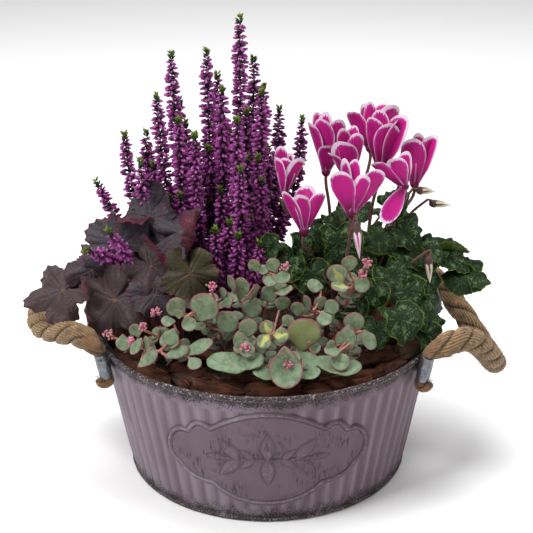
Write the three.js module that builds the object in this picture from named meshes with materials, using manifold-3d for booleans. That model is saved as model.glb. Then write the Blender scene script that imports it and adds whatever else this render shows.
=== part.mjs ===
// A mixed flower planter: a round fluted metal tub with two rope handles, planted with heather,
// a purple-leaved heuchera, trailing sedum and cyclamen, over soil with a ring of bark chips.
// Millimetres, +Z up. The origin is on the tub's axis in the plane that it stands on. Front is -Y.

import * as THREE from 'three';
import { mergeVertices } from 'three/addons/utils/BufferGeometryUtils.js';
import Module from 'manifold-3d';

const wasm = await Module();
wasm.setup();

// ---------- driving dimensions ----------

const RIM_RADIUS = 140;          // outside of the wall at the rim
const BASE_RADIUS = 116;         // outside of the wall at the base
const TUB_HEIGHT = 124;
const WALL = 1.8;
const FLOOR = 1.8;
const FLUTES = 64;
const FLUTE_HEIGHT = 0.8;        // how far a flute stands out from, or lies below, the plain wall
const FLUTE_LOW = 9;
const FLUTE_HIGH = 109;
const GAP = 0.3;                 // kept between pieces that touch

const LINER_WALL = 0.9;
const LINER_TOP = 125.5;
const SIDES = FLUTES / 2;        // of the liner and the soil
const SOIL_EDGE = 110;           // level of the soil at the liner
const SOIL_CROWN = 113;          // level of the soil in the middle
const ROOT_DEPTH = 22;           // how deep a stem stands in the soil
const HOLE_ROOM = 3 * GAP;       // at the corners of a three-sided hole, for a gap at its faces
const MULCH_INNER = 97;
const MULCH_DEPTH = 4;

const LABEL_HALF_WIDTH = 78;     // the raised frame on the front
const LABEL_TOP = 109;
const LABEL_BOTTOM = 18.5;
const FRAME_WIDTH = 4;
const FRAME_RELIEF = 3;          // above the plain wall
const FIELD_RELIEF = 1.6;
const SPRIG_RELIEF = 2.6;

const HANDLE_AZIMUTHS = { right: [-32.5, 28], left: [208, 148] };   // front and back sleeve, degrees
const SLEEVE_LEVEL = 118.5;
const SLEEVE_LENGTH = 21;
const SLEEVE_RADIUS = 5.6;
const SLEEVE_BORE = 4.7;
const SLEEVE_OUT = 8.6;          // from the plain wall to the sleeve's axis
const TONGUE = { near: 4.8, far: 17, low: -12, high: 0.5, inner: 1.4, outer: 2.6 };
const RIVET = { along: 12, level: -6, shank: 1.6, head: 3.4, rise: 1.9, depth: 1.7 };
const ROPE_RADIUS = 9.5;
const ROPE_CORE = 4.1;           // the rope squeezed in a sleeve

const RIM_SLOPE = Math.atan((RIM_RADIUS - BASE_RADIUS) / TUB_HEIGHT);
const TAU = 2 * Math.PI;
const UP = new THREE.Vector3(0, 0, 1);

// ---------- small helpers ----------

const v = (x, y, z) => new THREE.Vector3(x, y, z);
const range = (n) => Array.from({ length: n }, (_, i) => i);
const radians = (degrees) => degrees * Math.PI / 180;
const polar = (radius, angle, z) => v(radius * Math.cos(angle), radius * Math.sin(angle), z);
const wallRadius = (z) => BASE_RADIUS + (RIM_RADIUS - BASE_RADIUS) * z / TUB_HEIGHT;
const mix = (a, b, t) => a + (b - a) * t;

/** A seeded source of numbers from 0 to 1, so that each build is the same. */
function seeded(seed) {
  let state = seed >>> 0;
  return () => {
    state = (state + 0x6d2b79f5) >>> 0;
    let t = Math.imul(state ^ (state >>> 15), 1 | state);
    t = (t + Math.imul(t ^ (t >>> 7), 61 | t)) ^ t;
    return ((t ^ (t >>> 14)) >>> 0) / 4294967296;
  };
}

/** Triangles between two rings of any two counts; on a tie the ring named by lead moves first. */
function zip(index, a, countA, b, countB, lead) {
  let i = 0;
  let j = 0;
  while (i < countA || j < countB) {
    const nextA = (i + 1) / countA;
    const nextB = (j + 1) / countB;
    const moveA = j >= countB || (i < countA && (lead === 'a' ? nextA <= nextB : nextA < nextB));
    if (moveA) {
      if (countA > 1) index.push(a + i % countA, a + (i + 1) % countA, b + j % countB);
      i += 1;
    } else {
      if (countB > 1) index.push(a + i % countA, b + (j + 1) % countB, b + j % countB);
      j += 1;
    }
  }
}

/** A closed skin over rings that run anticlockwise about the way they follow, flat at both ends. */
function loft(rings, turn = Infinity) {
  const positions = [];
  const starts = [];
  for (const ring of rings) {
    starts.push(positions.length / 3);
    for (const p of ring) positions.push(p.x, p.y, p.z);
  }
  const index = [];
  const last = rings.length - 1;
  for (let i = 1; i + 1 < rings[0].length; i += 1) index.push(0, i + 1, i);
  for (let k = 0; k < last; k += 1) {
    zip(index, starts[k], rings[k].length, starts[k + 1], rings[k + 1].length, k < turn ? 'a' : 'b');
  }
  const end = starts[last];
  for (let i = 1; i + 1 < rings[last].length; i += 1) index.push(end, end + i, end + i + 1);
  const geometry = new THREE.BufferGeometry();
  geometry.setAttribute('position', new THREE.Float32BufferAttribute(positions, 3));
  geometry.setIndex(index);
  return geometry;
}

/** A closed band through four rings of like counts, the last joined to the first. */
function hoop(rings) {
  const sides = rings[0].length;
  const index = [];
  range(4).forEach((k) => zip(index, k * sides, sides, ((k + 1) % 4) * sides, sides, 'a'));
  const geometry = new THREE.BufferGeometry().setFromPoints(rings.flat());
  return geometry.setIndex(index);
}

/** The corners of a regular ring about a point, in the plane of two directions. */
function ringAt(centre, radius, sides, e1, e2, turn = 0) {
  return range(sides).map((i) => {
    const a = TAU * i / sides + turn;
    return centre.clone().addScaledVector(e1, radius * Math.cos(a)).addScaledVector(e2, radius * Math.sin(a));
  });
}

/** Level rings for a round body: each row is a level, a radius and a count of corners. */
const roundRings = (rows) => rows.map(([z, radius, sides]) => {
  return range(sides).map((i) => polar(radius, TAU * i / sides, z));
});

/** Frames carried along points without twist, starting upright. */
function framesAlong(points) {
  const side = v(1, 0, 0);
  return points.map((p, i) => {
    const before = points[Math.max(0, i - 1)];
    const after = points[Math.min(points.length - 1, i + 1)];
    const way = i === 0 ? UP.clone() : after.clone().sub(before).normalize();
    side.addScaledVector(way, -side.dot(way)).normalize();
    return { p, way, e1: side.clone(), e2: way.clone().cross(side) };
  });
}

/** A stem through points, with a radius at each and a few sides; a radius of 0 draws it to a point. */
function stem(points, radii, sides = 3) {
  return loft(framesAlong(points).map(({ p, e1, e2 }, i) => {
    return radii[i] === 0 ? [p] : ringAt(p, radii[i], sides, e1, e2, Math.PI / sides);
  }));
}

/** A smooth run of points through a few, sampled evenly. */
const smooth = (points, steps) => new THREE.CatmullRomCurve3(points).getSpacedPoints(steps);

/** Moves a geometry so that its y looks along forward and its z along up. */
function place(geometry, origin, forward, up) {
  const y = forward.clone().normalize();
  const x = y.clone().cross(up).normalize();
  const z = x.clone().cross(y);
  return geometry.applyMatrix4(new THREE.Matrix4().makeBasis(x, y, z).setPosition(origin));
}

/** A blade with a mid ring, thin and alike on both faces; edge gives its outline, lift its height. */
function blade(count, edge, lift, thickness) {
  const ring = (scale, corners, side) => range(corners).map((i) => {
    const a = TAU * i / corners;
    const r = edge(a) * scale;
    return v(r * Math.sin(a), -r * Math.cos(a), lift(r, a) + side * thickness / 2);
  });
  const middle = (side) => [v(0, 0, lift(0, 0) + side * thickness / 2)];
  const faces = (side) => [middle(side), ring(0.55, count / 2, side), ring(1, count, side)];
  return loft([...faces(-1), ...faces(1).reverse()], 3);
}

// ---------- solids ----------

/** A closed geometry as a solid that can be joined and cut. */
function solidOf(geometry) {
  const bare = geometry.clone();
  bare.deleteAttribute('normal');
  bare.deleteAttribute('uv');
  const merged = mergeVertices(bare, 1e-4);
  const vertProperties = new Float32Array(merged.attributes.position.array);
  const triVerts = new Uint32Array(merged.index.array);
  return new wasm.Manifold(new wasm.Mesh({ numProp: 3, vertProperties, triVerts }));
}

/** Back from a solid to a geometry. */
function geometryOf(solid) {
  const mesh = solid.getMesh();
  const geometry = new THREE.BufferGeometry();
  geometry.setAttribute('position', new THREE.Float32BufferAttribute(mesh.vertProperties, 3));
  geometry.setIndex(Array.from(mesh.triVerts));
  return geometry;
}

/** Many geometries joined to one solid, two by two. */
function fuse(geometries) {
  let solids = geometries.map(solidOf);
  while (solids.length > 1) {
    const pairs = range(Math.floor(solids.length / 2)).map((i) => solids[2 * i].add(solids[2 * i + 1]));
    solids = solids.length % 2 ? [...pairs, solids.at(-1)] : pairs;
  }
  return solids[0];
}

/** The largest closed body of a geometry; loose scraps and sealed hollows are left out. */
function largestBody(geometry) {
  const merged = mergeVertices(geometry, 1e-4);
  const position = merged.attributes.position;
  const index = merged.index.array;
  const parent = range(position.count);
  const find = (i) => {
    let at = i;
    while (parent[at] !== at) at = parent[at];
    return at;
  };
  for (let t = 0; t < index.length; t += 3) {
    parent[find(index[t + 1])] = find(index[t]);
    parent[find(index[t + 2])] = find(index[t]);
  }
  const bodies = new Map();
  const [a, b, c] = [v(0, 0, 0), v(0, 0, 0), v(0, 0, 0)];
  for (let t = 0; t < index.length; t += 3) {
    const key = find(index[t]);
    const body = bodies.get(key) ?? { volume: 0, index: [] };
    a.fromBufferAttribute(position, index[t]);
    b.fromBufferAttribute(position, index[t + 1]);
    c.fromBufferAttribute(position, index[t + 2]);
    body.volume += a.dot(b.cross(c)) / 6;
    body.index.push(index[t], index[t + 1], index[t + 2]);
    bodies.set(key, body);
  }
  const best = [...bodies.values()].sort((one, two) => two.volume - one.volume)[0];
  merged.setIndex(best.index);
  return mergeVertices(merged.toNonIndexed(), 1e-4);
}

const placed = [];
const group = new THREE.Group();
const CLEARING_SHIFTS = [
  [0, 0, 0], [GAP, 0, 0], [-GAP, 0, 0], [0, GAP, 0], [0, -GAP, 0], [0, 0, GAP], [0, 0, -GAP],
];

/** Cuts the gap of each earlier piece that a new one would cross, and adds the new one by name. */
function settle(name, solid, material) {
  let geometry = largestBody(geometryOf(solid));
  const trimmedBy = [];
  for (const other of placed) {
    geometry.computeBoundingBox();
    if (!other.box.intersectsBox(geometry.boundingBox)) continue;
    let body = solidOf(geometry);
    if (body.intersect(other.solid).getMesh().numTri === 0) continue;
    for (const [x, y, z] of CLEARING_SHIFTS) {
      body = body.subtract(solidOf(other.geometry.clone().translate(x, y, z)));
    }
    geometry = largestBody(geometryOf(body));
    trimmedBy.push(other.name);
  }
  const finished = geometry.clone();
  finished.computeVertexNormals();
  const mesh = new THREE.Mesh(finished, material);
  mesh.name = name;
  mesh.userData.trimmedBy = trimmedBy;
  group.add(mesh);
  geometry.computeBoundingBox();
  placed.push({ name, geometry, box: geometry.boundingBox.clone(), solid: solidOf(geometry) });
}

// Ways to bend a plant part aside, nearest first, in millimetres.
const BENDS = [[0, 0, 0], ...[3, 6, 9, 12].flatMap((d) => [
  [0, 0, d], [0, 0, -d], [d, 0, 0], [-d, 0, 0], [0, d, 0], [0, -d, 0],
  [d, d, 0], [-d, d, 0], [d, -d, 0], [-d, -d, 0],
])];

/** True where none of the geometries meets a piece that is already there. */
function isClear(geometries) {
  return geometries.every((geometry) => {
    geometry.computeBoundingBox();
    const near = placed.filter(({ box }) => box.intersectsBox(geometry.boundingBox));
    if (near.length === 0) return true;
    const body = solidOf(geometry);
    return near.every(({ solid }) => body.intersect(solid).getMesh().numTri === 0);
  });
}

/** The parts that make gives for the first bend at which they are clear, or unbent if none is. */
function bentClear(make) {
  for (const bend of BENDS) {
    const parts = make(v(...bend));
    if (isClear(parts)) return parts;
  }
  return make(v(0, 0, 0));
}

const finish = (color, roughness, metalness = 0) => {
  return new THREE.MeshStandardMaterial({ color, roughness, metalness });
};

const PAINTED_METAL = finish(0x77666f, 0.6, 0.35);
const BARE_METAL = finish(0x8d9296, 0.45, 0.85);
const JUTE = finish(0x9a7448, 0.95);
const BLACK_PLASTIC = finish(0x141416, 0.5);
const SOIL = finish(0x2a1d15, 1);
const BARK = finish(0x6b3a26, 0.95);
const HEATHER_PINK = finish(0x8d3487, 0.85);
const HEUCHERA = finish(0x4a353d, 0.55);
const SEDUM = finish(0x8ea07c, 0.6);
const PETAL = finish(0xc4269a, 0.6);
const BUD = finish(0xc98fb0, 0.6);
const LEAF = finish(0x2f4d2c, 0.5);

// ---------- tub ----------

/** The wall as rings: seam, flutes and rolled rim outside, then the plain inside down to the floor. */
function tubShell() {
  const plain = (z, out) => range(FLUTES).map((i) => polar(wallRadius(z) + out, TAU * i / FLUTES, z));
  const inside = (z) => range(FLUTES / 2).map((i) => polar(wallRadius(z) - WALL, 2 * TAU * i / FLUTES, z));
  const fluted = (z) => range(2 * FLUTES).map((i) => {
    return polar(wallRadius(z) + (i % 2 ? -FLUTE_HEIGHT : FLUTE_HEIGHT), Math.PI * i / FLUTES, z);
  });
  return loft([
    plain(0, -1.2), plain(2.4, 1.4), plain(5, 0),
    fluted(FLUTE_LOW), fluted(FLUTE_HIGH),
    plain(113, 0), plain(120.5, 1.6), plain(TUB_HEIGHT, 1.2),
    inside(TUB_HEIGHT), inside(FLOOR),
  ]);
}

/** A band that follows the wall, between two distances from it. */
function wallBand(low, high, inner, outer) {
  return hoop(roundRings([
    [low, wallRadius(low) + inner, FLUTES / 2], [low, wallRadius(low) + outer, FLUTES / 2],
    [high, wallRadius(high) + outer, FLUTES / 2], [high, wallRadius(high) + inner, FLUTES / 2],
  ]));
}

/** Half of the label's outline, from the top middle round the right side to the bottom middle. */
function labelHalf() {
  const path = new THREE.Path();
  path.moveTo(0, LABEL_TOP);
  path.quadraticCurveTo(26, 106, 44, 92);
  path.quadraticCurveTo(55, 102, 62, 86);
  path.quadraticCurveTo(75, 88, LABEL_HALF_WIDTH, 69);
  path.quadraticCurveTo(79, 54, 69, 49);
  path.quadraticCurveTo(64, 36, 43, 35);
  path.quadraticCurveTo(24, 24, 0, LABEL_BOTTOM);
  return path.getPoints(2);
}

/** The label's outline, drawn in by an inset, as a block that runs through the front wall. */
function labelBlock(inset) {
  const middle = (LABEL_TOP + LABEL_BOTTOM) / 2;
  const sideways = 1 - inset / LABEL_HALF_WIDTH;
  const upright = 1 - inset / (LABEL_TOP - middle);
  const half = labelHalf().map((p) => new THREE.Vector2(p.x * sideways, middle + (p.y - middle) * upright));
  const mirrored = half.slice(1, -1).reverse().map((p) => new THREE.Vector2(-p.x, p.y));
  return frontBlock(new THREE.Shape([...half, ...mirrored]));
}

/** A shape drawn from the front, as a block through the front wall. */
function frontBlock(shape) {
  const block = new THREE.ExtrudeGeometry(shape, { depth: 60, bevelEnabled: false, curveSegments: 2 });
  const towardsFront = new THREE.Matrix4().makeBasis(v(1, 0, 0), v(0, 0, 1), v(0, -1, 0));
  return block.applyMatrix4(towardsFront.setPosition(0, -85, 0));
}

/** A plain leafy sprig for the middle of the label: a stalk with pairs of leaves that lean outward. */
function sprigBlocks() {
  const middle = (LABEL_TOP + LABEL_BOTTOM) / 2;
  const leaf = (x, angle, length) => {
    const corners = [[-2, 0], [length * 0.5, length * 0.2], [length, 0], [length * 0.5, -length * 0.2]];
    const [c, t] = [Math.cos(angle), Math.sin(angle)];
    return frontBlock(new THREE.Shape(corners.map(([u, w]) => {
      return new THREE.Vector2(x + c * u - t * w, middle + t * u + c * w);
    })));
  };
  const stalk = new THREE.BoxGeometry(70, 40, 2.4).translate(0, -120, middle);
  const pairs = [-22, 22].flatMap((x) => [-1, 1].map((side) => {
    return leaf(x, (x < 0 ? Math.PI : 0) + side * Math.sign(x) * radians(50), 24);
  }));
  return [stalk, ...pairs, leaf(0, radians(90), 26), leaf(0, radians(-90), 26)];
}

/** Moves a geometry made beside the wall: x along the wall, y out of it and z up its slope. */
function onWall(geometry, azimuth, mirrored) {
  const phi = radians(azimuth);
  const out = polar(Math.cos(RIM_SLOPE), phi, -Math.sin(RIM_SLOPE));
  const up = polar(Math.sin(RIM_SLOPE), phi, Math.cos(RIM_SLOPE));
  const along = out.clone().cross(up);
  const origin = polar(wallRadius(SLEEVE_LEVEL), phi, SLEEVE_LEVEL);
  if (mirrored) geometry.applyMatrix4(new THREE.Matrix4().makeScale(-1, 1, 1));
  geometry.applyMatrix4(new THREE.Matrix4().makeBasis(along, out, up).setPosition(origin));
  return mirrored ? flipped(geometry) : geometry;
}

/** A mirrored geometry with its faces turned out again. */
function flipped(geometry) {
  const whole = geometry.index ? geometry : mergeVertices(geometry);
  const index = whole.index.array;
  for (let t = 0; t < index.length; t += 3) [index[t + 1], index[t + 2]] = [index[t + 2], index[t + 1]];
  return whole;
}

/** A turned piece whose axis points out of the wall. */
const outward = (profile, sides) => {
  return new THREE.LatheGeometry(profile.map(([r, y]) => new THREE.Vector2(r, y)), sides);
};

/** The hole or the rivet that fixes a sleeve. */
const rivetBody = () => outward([
  [0, -RIVET.depth], [RIVET.shank, -RIVET.depth], [RIVET.shank, TONGUE.outer + GAP],
  [RIVET.head, TONGUE.outer + GAP], [RIVET.head * 0.7, TONGUE.outer + GAP + RIVET.rise * 0.7],
  [0, TONGUE.outer + GAP + RIVET.rise],
], 6).translate(RIVET.along, 0, RIVET.level);
const rivetHole = () => outward([[0, -4], [RIVET.shank + GAP, -4], [RIVET.shank + GAP, 4], [0, 4]], 6)
  .translate(RIVET.along, 0, RIVET.level);

/** A sleeve: a short tube for the rope with a tongue that lies on the wall. */
function sleeveSolid(azimuth, mirrored) {
  const tube = new THREE.LatheGeometry([
    new THREE.Vector2(SLEEVE_BORE, -SLEEVE_LENGTH / 2), new THREE.Vector2(SLEEVE_RADIUS, -SLEEVE_LENGTH / 2),
    new THREE.Vector2(SLEEVE_RADIUS, SLEEVE_LENGTH / 2), new THREE.Vector2(SLEEVE_BORE, SLEEVE_LENGTH / 2),
    new THREE.Vector2(SLEEVE_BORE, -SLEEVE_LENGTH / 2),
  ], 8).rotateY(Math.PI / 8).rotateX(Math.PI / 2).translate(0, SLEEVE_OUT, 0);
  const box = (x0, x1, y0, y1) => {
    const block = new THREE.BoxGeometry(x1 - x0, y1 - y0, TONGUE.high - TONGUE.low);
    return block.translate((x0 + x1) / 2, (y0 + y1) / 2, (TONGUE.high + TONGUE.low) / 2);
  };
  const web = box(TONGUE.near, SLEEVE_RADIUS - 0.02, TONGUE.inner, SLEEVE_OUT);
  const tongue = box(TONGUE.near, TONGUE.far, TONGUE.inner, TONGUE.outer);
  const parts = [tube, web, tongue].map((part) => onWall(part, azimuth, mirrored));
  return fuse(parts).subtract(solidOf(onWall(rivetHole(), azimuth, mirrored)));
}

/** Where a sleeve's axis is, at a height along it. */
function sleevePoint(azimuth, along) {
  const point = new THREE.BufferGeometry().setFromPoints([v(0, SLEEVE_OUT, along)]);
  return new THREE.Vector3().fromBufferAttribute(onWall(point, azimuth, false).attributes.position, 0);
}

const SLEEVES = [
  { name: 'right_front', azimuth: HANDLE_AZIMUTHS.right[0], mirrored: true },
  { name: 'right_back', azimuth: HANDLE_AZIMUTHS.right[1], mirrored: false },
  { name: 'left_front', azimuth: HANDLE_AZIMUTHS.left[0], mirrored: false },
  { name: 'left_back', azimuth: HANDLE_AZIMUTHS.left[1], mirrored: true },
];

function addTub() {
  const block = (inset) => solidOf(labelBlock(inset));
  const band = (outer) => solidOf(wallBand(LABEL_BOTTOM - 4, TUB_HEIGHT - 8, -FLUTE_HEIGHT - 0.4, outer));
  const field = block(0).intersect(band(FIELD_RELIEF));
  const ridge = block(0).subtract(block(FRAME_WIDTH)).intersect(band(FRAME_RELIEF));
  const sprig = fuse(sprigBlocks()).intersect(band(SPRIG_RELIEF));
  let tub = solidOf(tubShell()).add(field).add(ridge).add(sprig);
  for (const { azimuth, mirrored } of SLEEVES) {
    tub = tub.subtract(solidOf(onWall(rivetHole(), azimuth, mirrored)));
  }
  settle('tub', tub, PAINTED_METAL);
}

function addSleeves() {
  for (const { name, azimuth, mirrored } of SLEEVES) {
    settle(`rope_sleeve_${name}`, sleeveSolid(azimuth, mirrored), BARE_METAL);
    settle(`rivet_${name}`, solidOf(onWall(rivetBody(), azimuth, mirrored)), BARE_METAL);
  }
}

// ---------- rope handles ----------

// The routes between the sleeves, front to back, through the middle of the rope.
const ROPE_ROUTES = {
  right: [
    v(131, -84.5, 134.5), v(140, -84.5, 139), v(151, -77, 140), v(164, -64, 132), v(176, -47, 116),
    v(182.5, -37.5, 106), v(187, -27, 97), v(191, -16, 90), v(193, -5, 85), v(192.5, 4, 84.5),
    v(190, 13, 86), v(183, 28, 94), v(174, 43, 105), v(163, 55, 118), v(152, 64, 129), v(142.5, 70, 136),
    v(135, 71.5, 137.5),
  ],
  left: [
    v(-136, -73.5, 135.5), v(-142.5, -69.5, 139.5), v(-147.5, -65, 140), v(-153, -59, 139), v(-167, -47, 135),
    v(-181, -30, 130), v(-186.5, -20, 129), v(-190, -9, 128), v(-191.7, 1.5, 127), v(-192, 12, 127),
    v(-190.5, 22, 126.3), v(-187, 32, 126), v(-175, 50, 128), v(-161, 63, 132), v(-147, 73, 137),
    v(-138, 78, 139.5), v(-131, 79.5, 137),
  ],
};

/** The squeezed end of a rope: a blunt tail turned outward, the core in its sleeve, and the swell above. */
function ropeEnd(azimuth, loopEnd) {
  const half = SLEEVE_LENGTH / 2;
  const out = polar(1, radians(azimuth), 0);
  const axis = sleevePoint(azimuth, half).sub(sleevePoint(azimuth, -half)).normalize();
  const swell = sleevePoint(azimuth, -half - 8);
  const tail = swell.clone().addScaledVector(out, 9).add(v(0, 0, -2));
  const rows = [
    { p: tail, r: 4.5, way: swell.clone().sub(tail).normalize() },
    { p: swell, r: 6.5, way: axis.clone().addScaledVector(out, -0.6).normalize() },
    { p: sleevePoint(azimuth, -half - 1.5), r: ROPE_CORE, way: axis },
    { p: sleevePoint(azimuth, half + 1), r: ROPE_CORE, way: axis },
    { p: loopEnd, r: ROPE_RADIUS * 0.8, way: axis.clone().addScaledVector(out, 0.8).normalize() },
  ];
  const sideways = out.clone().cross(UP);
  return loft(rows.map(({ p, r, way }) => ringAt(p, r, 6, sideways, way.clone().cross(sideways))));
}

function addRope(side) {
  const route = ROPE_ROUTES[side];
  const section = new THREE.Shape(range(8).map((i) => {
    return new THREE.Vector2(ROPE_RADIUS * Math.cos(TAU * i / 8), ROPE_RADIUS * Math.sin(TAU * i / 8));
  }));
  const loop = new THREE.ExtrudeGeometry(section, {
    extrudePath: new THREE.CatmullRomCurve3(route), steps: 14, bevelEnabled: false,
  });
  const [front, back] = HANDLE_AZIMUTHS[side];
  const into = (end, next) => end.clone().lerp(next, 0.4);
  const ends = [ropeEnd(front, into(route[0], route[1])), ropeEnd(back, into(route.at(-1), route.at(-2)))];
  settle(`rope_handle_${side}`, fuse([loop, ...ends]), JUTE);
}

// ---------- liner, soil and mulch ----------

const linerOuter = (z) => wallRadius(z) - WALL - GAP - 0.15;

function addLiner() {
  const floor = FLOOR + GAP;
  const wavy = (z, inset) => range(SIDES).map((i) => {
    const a = TAU * i / SIDES;
    return polar(linerOuter(TUB_HEIGHT) - inset, a, z + 1.1 * Math.sin(3 * a + 0.7));
  });
  const [base] = roundRings([[floor, linerOuter(floor), SIDES]]);
  const [inside] = roundRings([[floor + LINER_WALL, linerOuter(floor) - LINER_WALL, SIDES]]);
  const liner = loft([base, wavy(LINER_TOP, 0), wavy(LINER_TOP, LINER_WALL), inside]);
  settle('liner', solidOf(liner), BLACK_PLASTIC);
}

const soilOuter = (z) => linerOuter(z) - LINER_WALL - GAP - 0.5;
const soilLevel = (x, y) => {
  const r = Math.hypot(x, y);
  return r > MULCH_INNER - 4 ? SOIL_EDGE : mix(SOIL_CROWN, SOIL_EDGE, r / (MULCH_INNER - 4));
};
const roots = [];

function addSoil() {
  const floor = FLOOR + GAP + LINER_WALL + GAP;
  const flat = MULCH_INNER - 4;
  const rows = [[floor, soilOuter(floor)], [SOIL_EDGE, soilOuter(SOIL_EDGE)], [SOIL_EDGE, flat]];
  let soil = solidOf(loft([...roundRings(rows.map((row) => [...row, SIDES])), [v(0, 0, SOIL_CROWN)]]));
  for (const { x, y, radius, turn } of roots) {
    const hole = [SOIL_EDGE - ROOT_DEPTH - GAP, SOIL_CROWN + 5].map((z) => {
      return ringAt(v(x, y, z), radius + HOLE_ROOM, 3, v(1, 0, 0), v(0, 1, 0), turn);
    });
    soil = soil.subtract(solidOf(loft(hole)));
  }
  settle('soil', soil, SOIL);
}

/** The foot of a stem in its hole, and the point where it leaves the soil. */
function rooted(x, y, radius, turn = Math.PI / 3) {
  roots.push({ x, y, radius, turn });
  return [v(x, y, SOIL_EDGE - ROOT_DEPTH), v(x, y, soilLevel(x, y) + 2)];
}

const CHIPS = 18;

/** A split chip of bark: a block with slanted ends and a ridged top. */
function chip(length, width, height) {
  const section = (y, scale, rise) => [
    v(-width / 2 * scale, y, 0), v(width / 2 * scale, y, 0),
    v(width * 0.34 * scale, y, height * rise), v(-width * 0.4 * scale, y, height * rise * 0.8),
  ];
  return loft([section(length / 2, 0.7, 0.6), section(length * 0.1, 1, 1), section(-length / 2, 0.75, 0.5)]);
}

function addMulch() {
  const random = seeded(41);
  const bottom = SOIL_EDGE + GAP;
  const outer = soilOuter(SOIL_EDGE);
  const level = (z, r, wave) => range(SIDES).map((i) => {
    const a = TAU * i / SIDES;
    return polar(r + wave * Math.sin(5 * a), a, z);
  });
  const rings = [
    level(bottom, MULCH_INNER, 1), level(bottom, outer, 0), level(bottom + MULCH_DEPTH, outer, 0),
    level(bottom + MULCH_DEPTH - 1, MULCH_INNER + 2, 1),
  ];
  const chips = range(CHIPS).map((i) => {
    const a = TAU * (i + 0.3 * random()) / CHIPS;
    const radius = i % 2 ? mix(117, 119, random()) : mix(104, 106, random());
    const geometry = chip(mix(34, 46, random()), mix(13, 17, random()), mix(8, 11, random()));
    geometry.rotateX(mix(-0.05, 0.05, random())).rotateZ(a + mix(-0.22, 0.22, random()));
    const sunk = mix(2, 1, random());
    return geometry.translate(radius * Math.cos(a), radius * Math.sin(a), bottom + MULCH_DEPTH - sunk);
  });
  settle('bark_mulch', fuse([hoop(rings), ...chips]), BARK);
}

// ---------- heather ----------

const FLOWERED = 138;            // length of a shoot that carries florets
const WHORL_PITCH = 20;
const SPIKE_RADIUS = 6.4;
const SHOOT_CORE = 2.1;

// Each branch: where it is rooted and the tips of its shoots.
const HEATHER_BRANCHES = [
  { root: [-27, 54], tips: [[-20, 45, 373], [-9, 62, 336]] },
  { root: [-17, 42], tips: [[-1, 46, 316], [-3, 21, 318]] },
  { root: [-40, 40], tips: [[-47, 35, 348], [-34, 15, 322]] },
  { root: [-56, 42], tips: [[-75, 30, 347], [-86, 10, 318]] },
  { root: [-72, 32], tips: [[-113, 10, 286], [-98, 27, 283]] },
  { root: [-66, 16], tips: [[-100, -6, 268], [-69, 4, 300]] },
  { root: [-53, 26], tips: [[-66, 48, 285], [-56, -2, 288]] },
  { root: [-34, 26], tips: [[-22, -2, 301], [-15, 38, 297]] },
  { root: [-20, 26], tips: [[-6, 4, 268], [-20, -14, 264]] },
  { root: [-14, 62], tips: [[12, 70, 290], [32, 84, 277]] },
  { root: [-82, 16], tips: [[-137, -4, 251], [-132, -24, 220], [-147, -28, 203]] },
  { root: [-38, 8], tips: [[-22, -30, 214], [-40, -28, 218], [-5, -28, 206]] },
  { root: [-44, 62], tips: [[-40, 78, 318], [-72, 66, 300], [-98, 54, 262]] },
];

/** The way of a shoot: up out of the soil, out towards its tip, then upright again. */
function shootWay(start, foot, tip) {
  const [x, y, z] = tip;
  const at = (t, lean) => v(mix(start[0], x, lean), mix(start[1], y, lean), mix(foot[1].z, z, t));
  return new THREE.CatmullRomCurve3([foot[1], at(0.16, 0.2), at(0.45, 0.68), at(0.75, 0.93), v(x, y, z)]);
}

/** A flowering shoot: a slim core with whorls of three florets drawn out to points, and a leafy tip. */
function shoot(start, foot, tip, turn, forked) {
  const way = shootWay(start, foot, tip);
  const length = way.getLength();
  const bare = Math.max(0.2, 1 - FLOWERED / length);
  const whorls = Math.round(length * (1 - bare) / WHORL_PITCH);
  const rows = [{ t: bare * 0.6, r: 1.3, a: 0 }];
  for (const k of range(whorls)) {
    const at = (share) => mix(bare, 0.97, (k + share) / whorls);
    const size = k === whorls - 1 ? 0.55 : mix(1.05, 0.85, k / whorls);
    rows.push({ t: at(0.1), r: SHOOT_CORE, a: k * TAU / 6 + turn });
    rows.push({ t: at(0.62), r: SPIKE_RADIUS * size, a: (k + 1) * TAU / 6 + turn });
  }
  const low = forked ? [{ p: foot[1], r: 0 }] : foot.map((p) => ({ p, r: SHOOT_CORE, a: 0 }));
  const high = rows.map((row) => ({ ...row, p: way.getPointAt(row.t) }));
  const all = [...low, ...high, { p: way.getPointAt(1), r: 0 }];
  return loft(framesAlong(all.map(({ p }) => p)).map(({ p, e1, e2 }, i) => {
    return all[i].r === 0 ? [p] : ringAt(p, all[i].r, 3, e1, e2, all[i].a + Math.PI / 3);
  }));
}

function addHeather() {
  HEATHER_BRANCHES.forEach(({ root, tips }, k) => {
    const foot = rooted(root[0], root[1], SHOOT_CORE);
    const shoots = tips.flatMap((tip, i) => bentClear((bend) => {
      return [shoot(root, foot, v(...tip).add(bend).toArray(), i * 0.35 + k * 0.2, i > 0)];
    }));
    settle(`heather_branch_${k + 1}`, fuse(shoots), HEATHER_PINK);
  });
}

// ---------- heuchera ----------

const HEUCHERA_THICKNESS = 1.1;
const STALK_RADIUS = 2;

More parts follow.
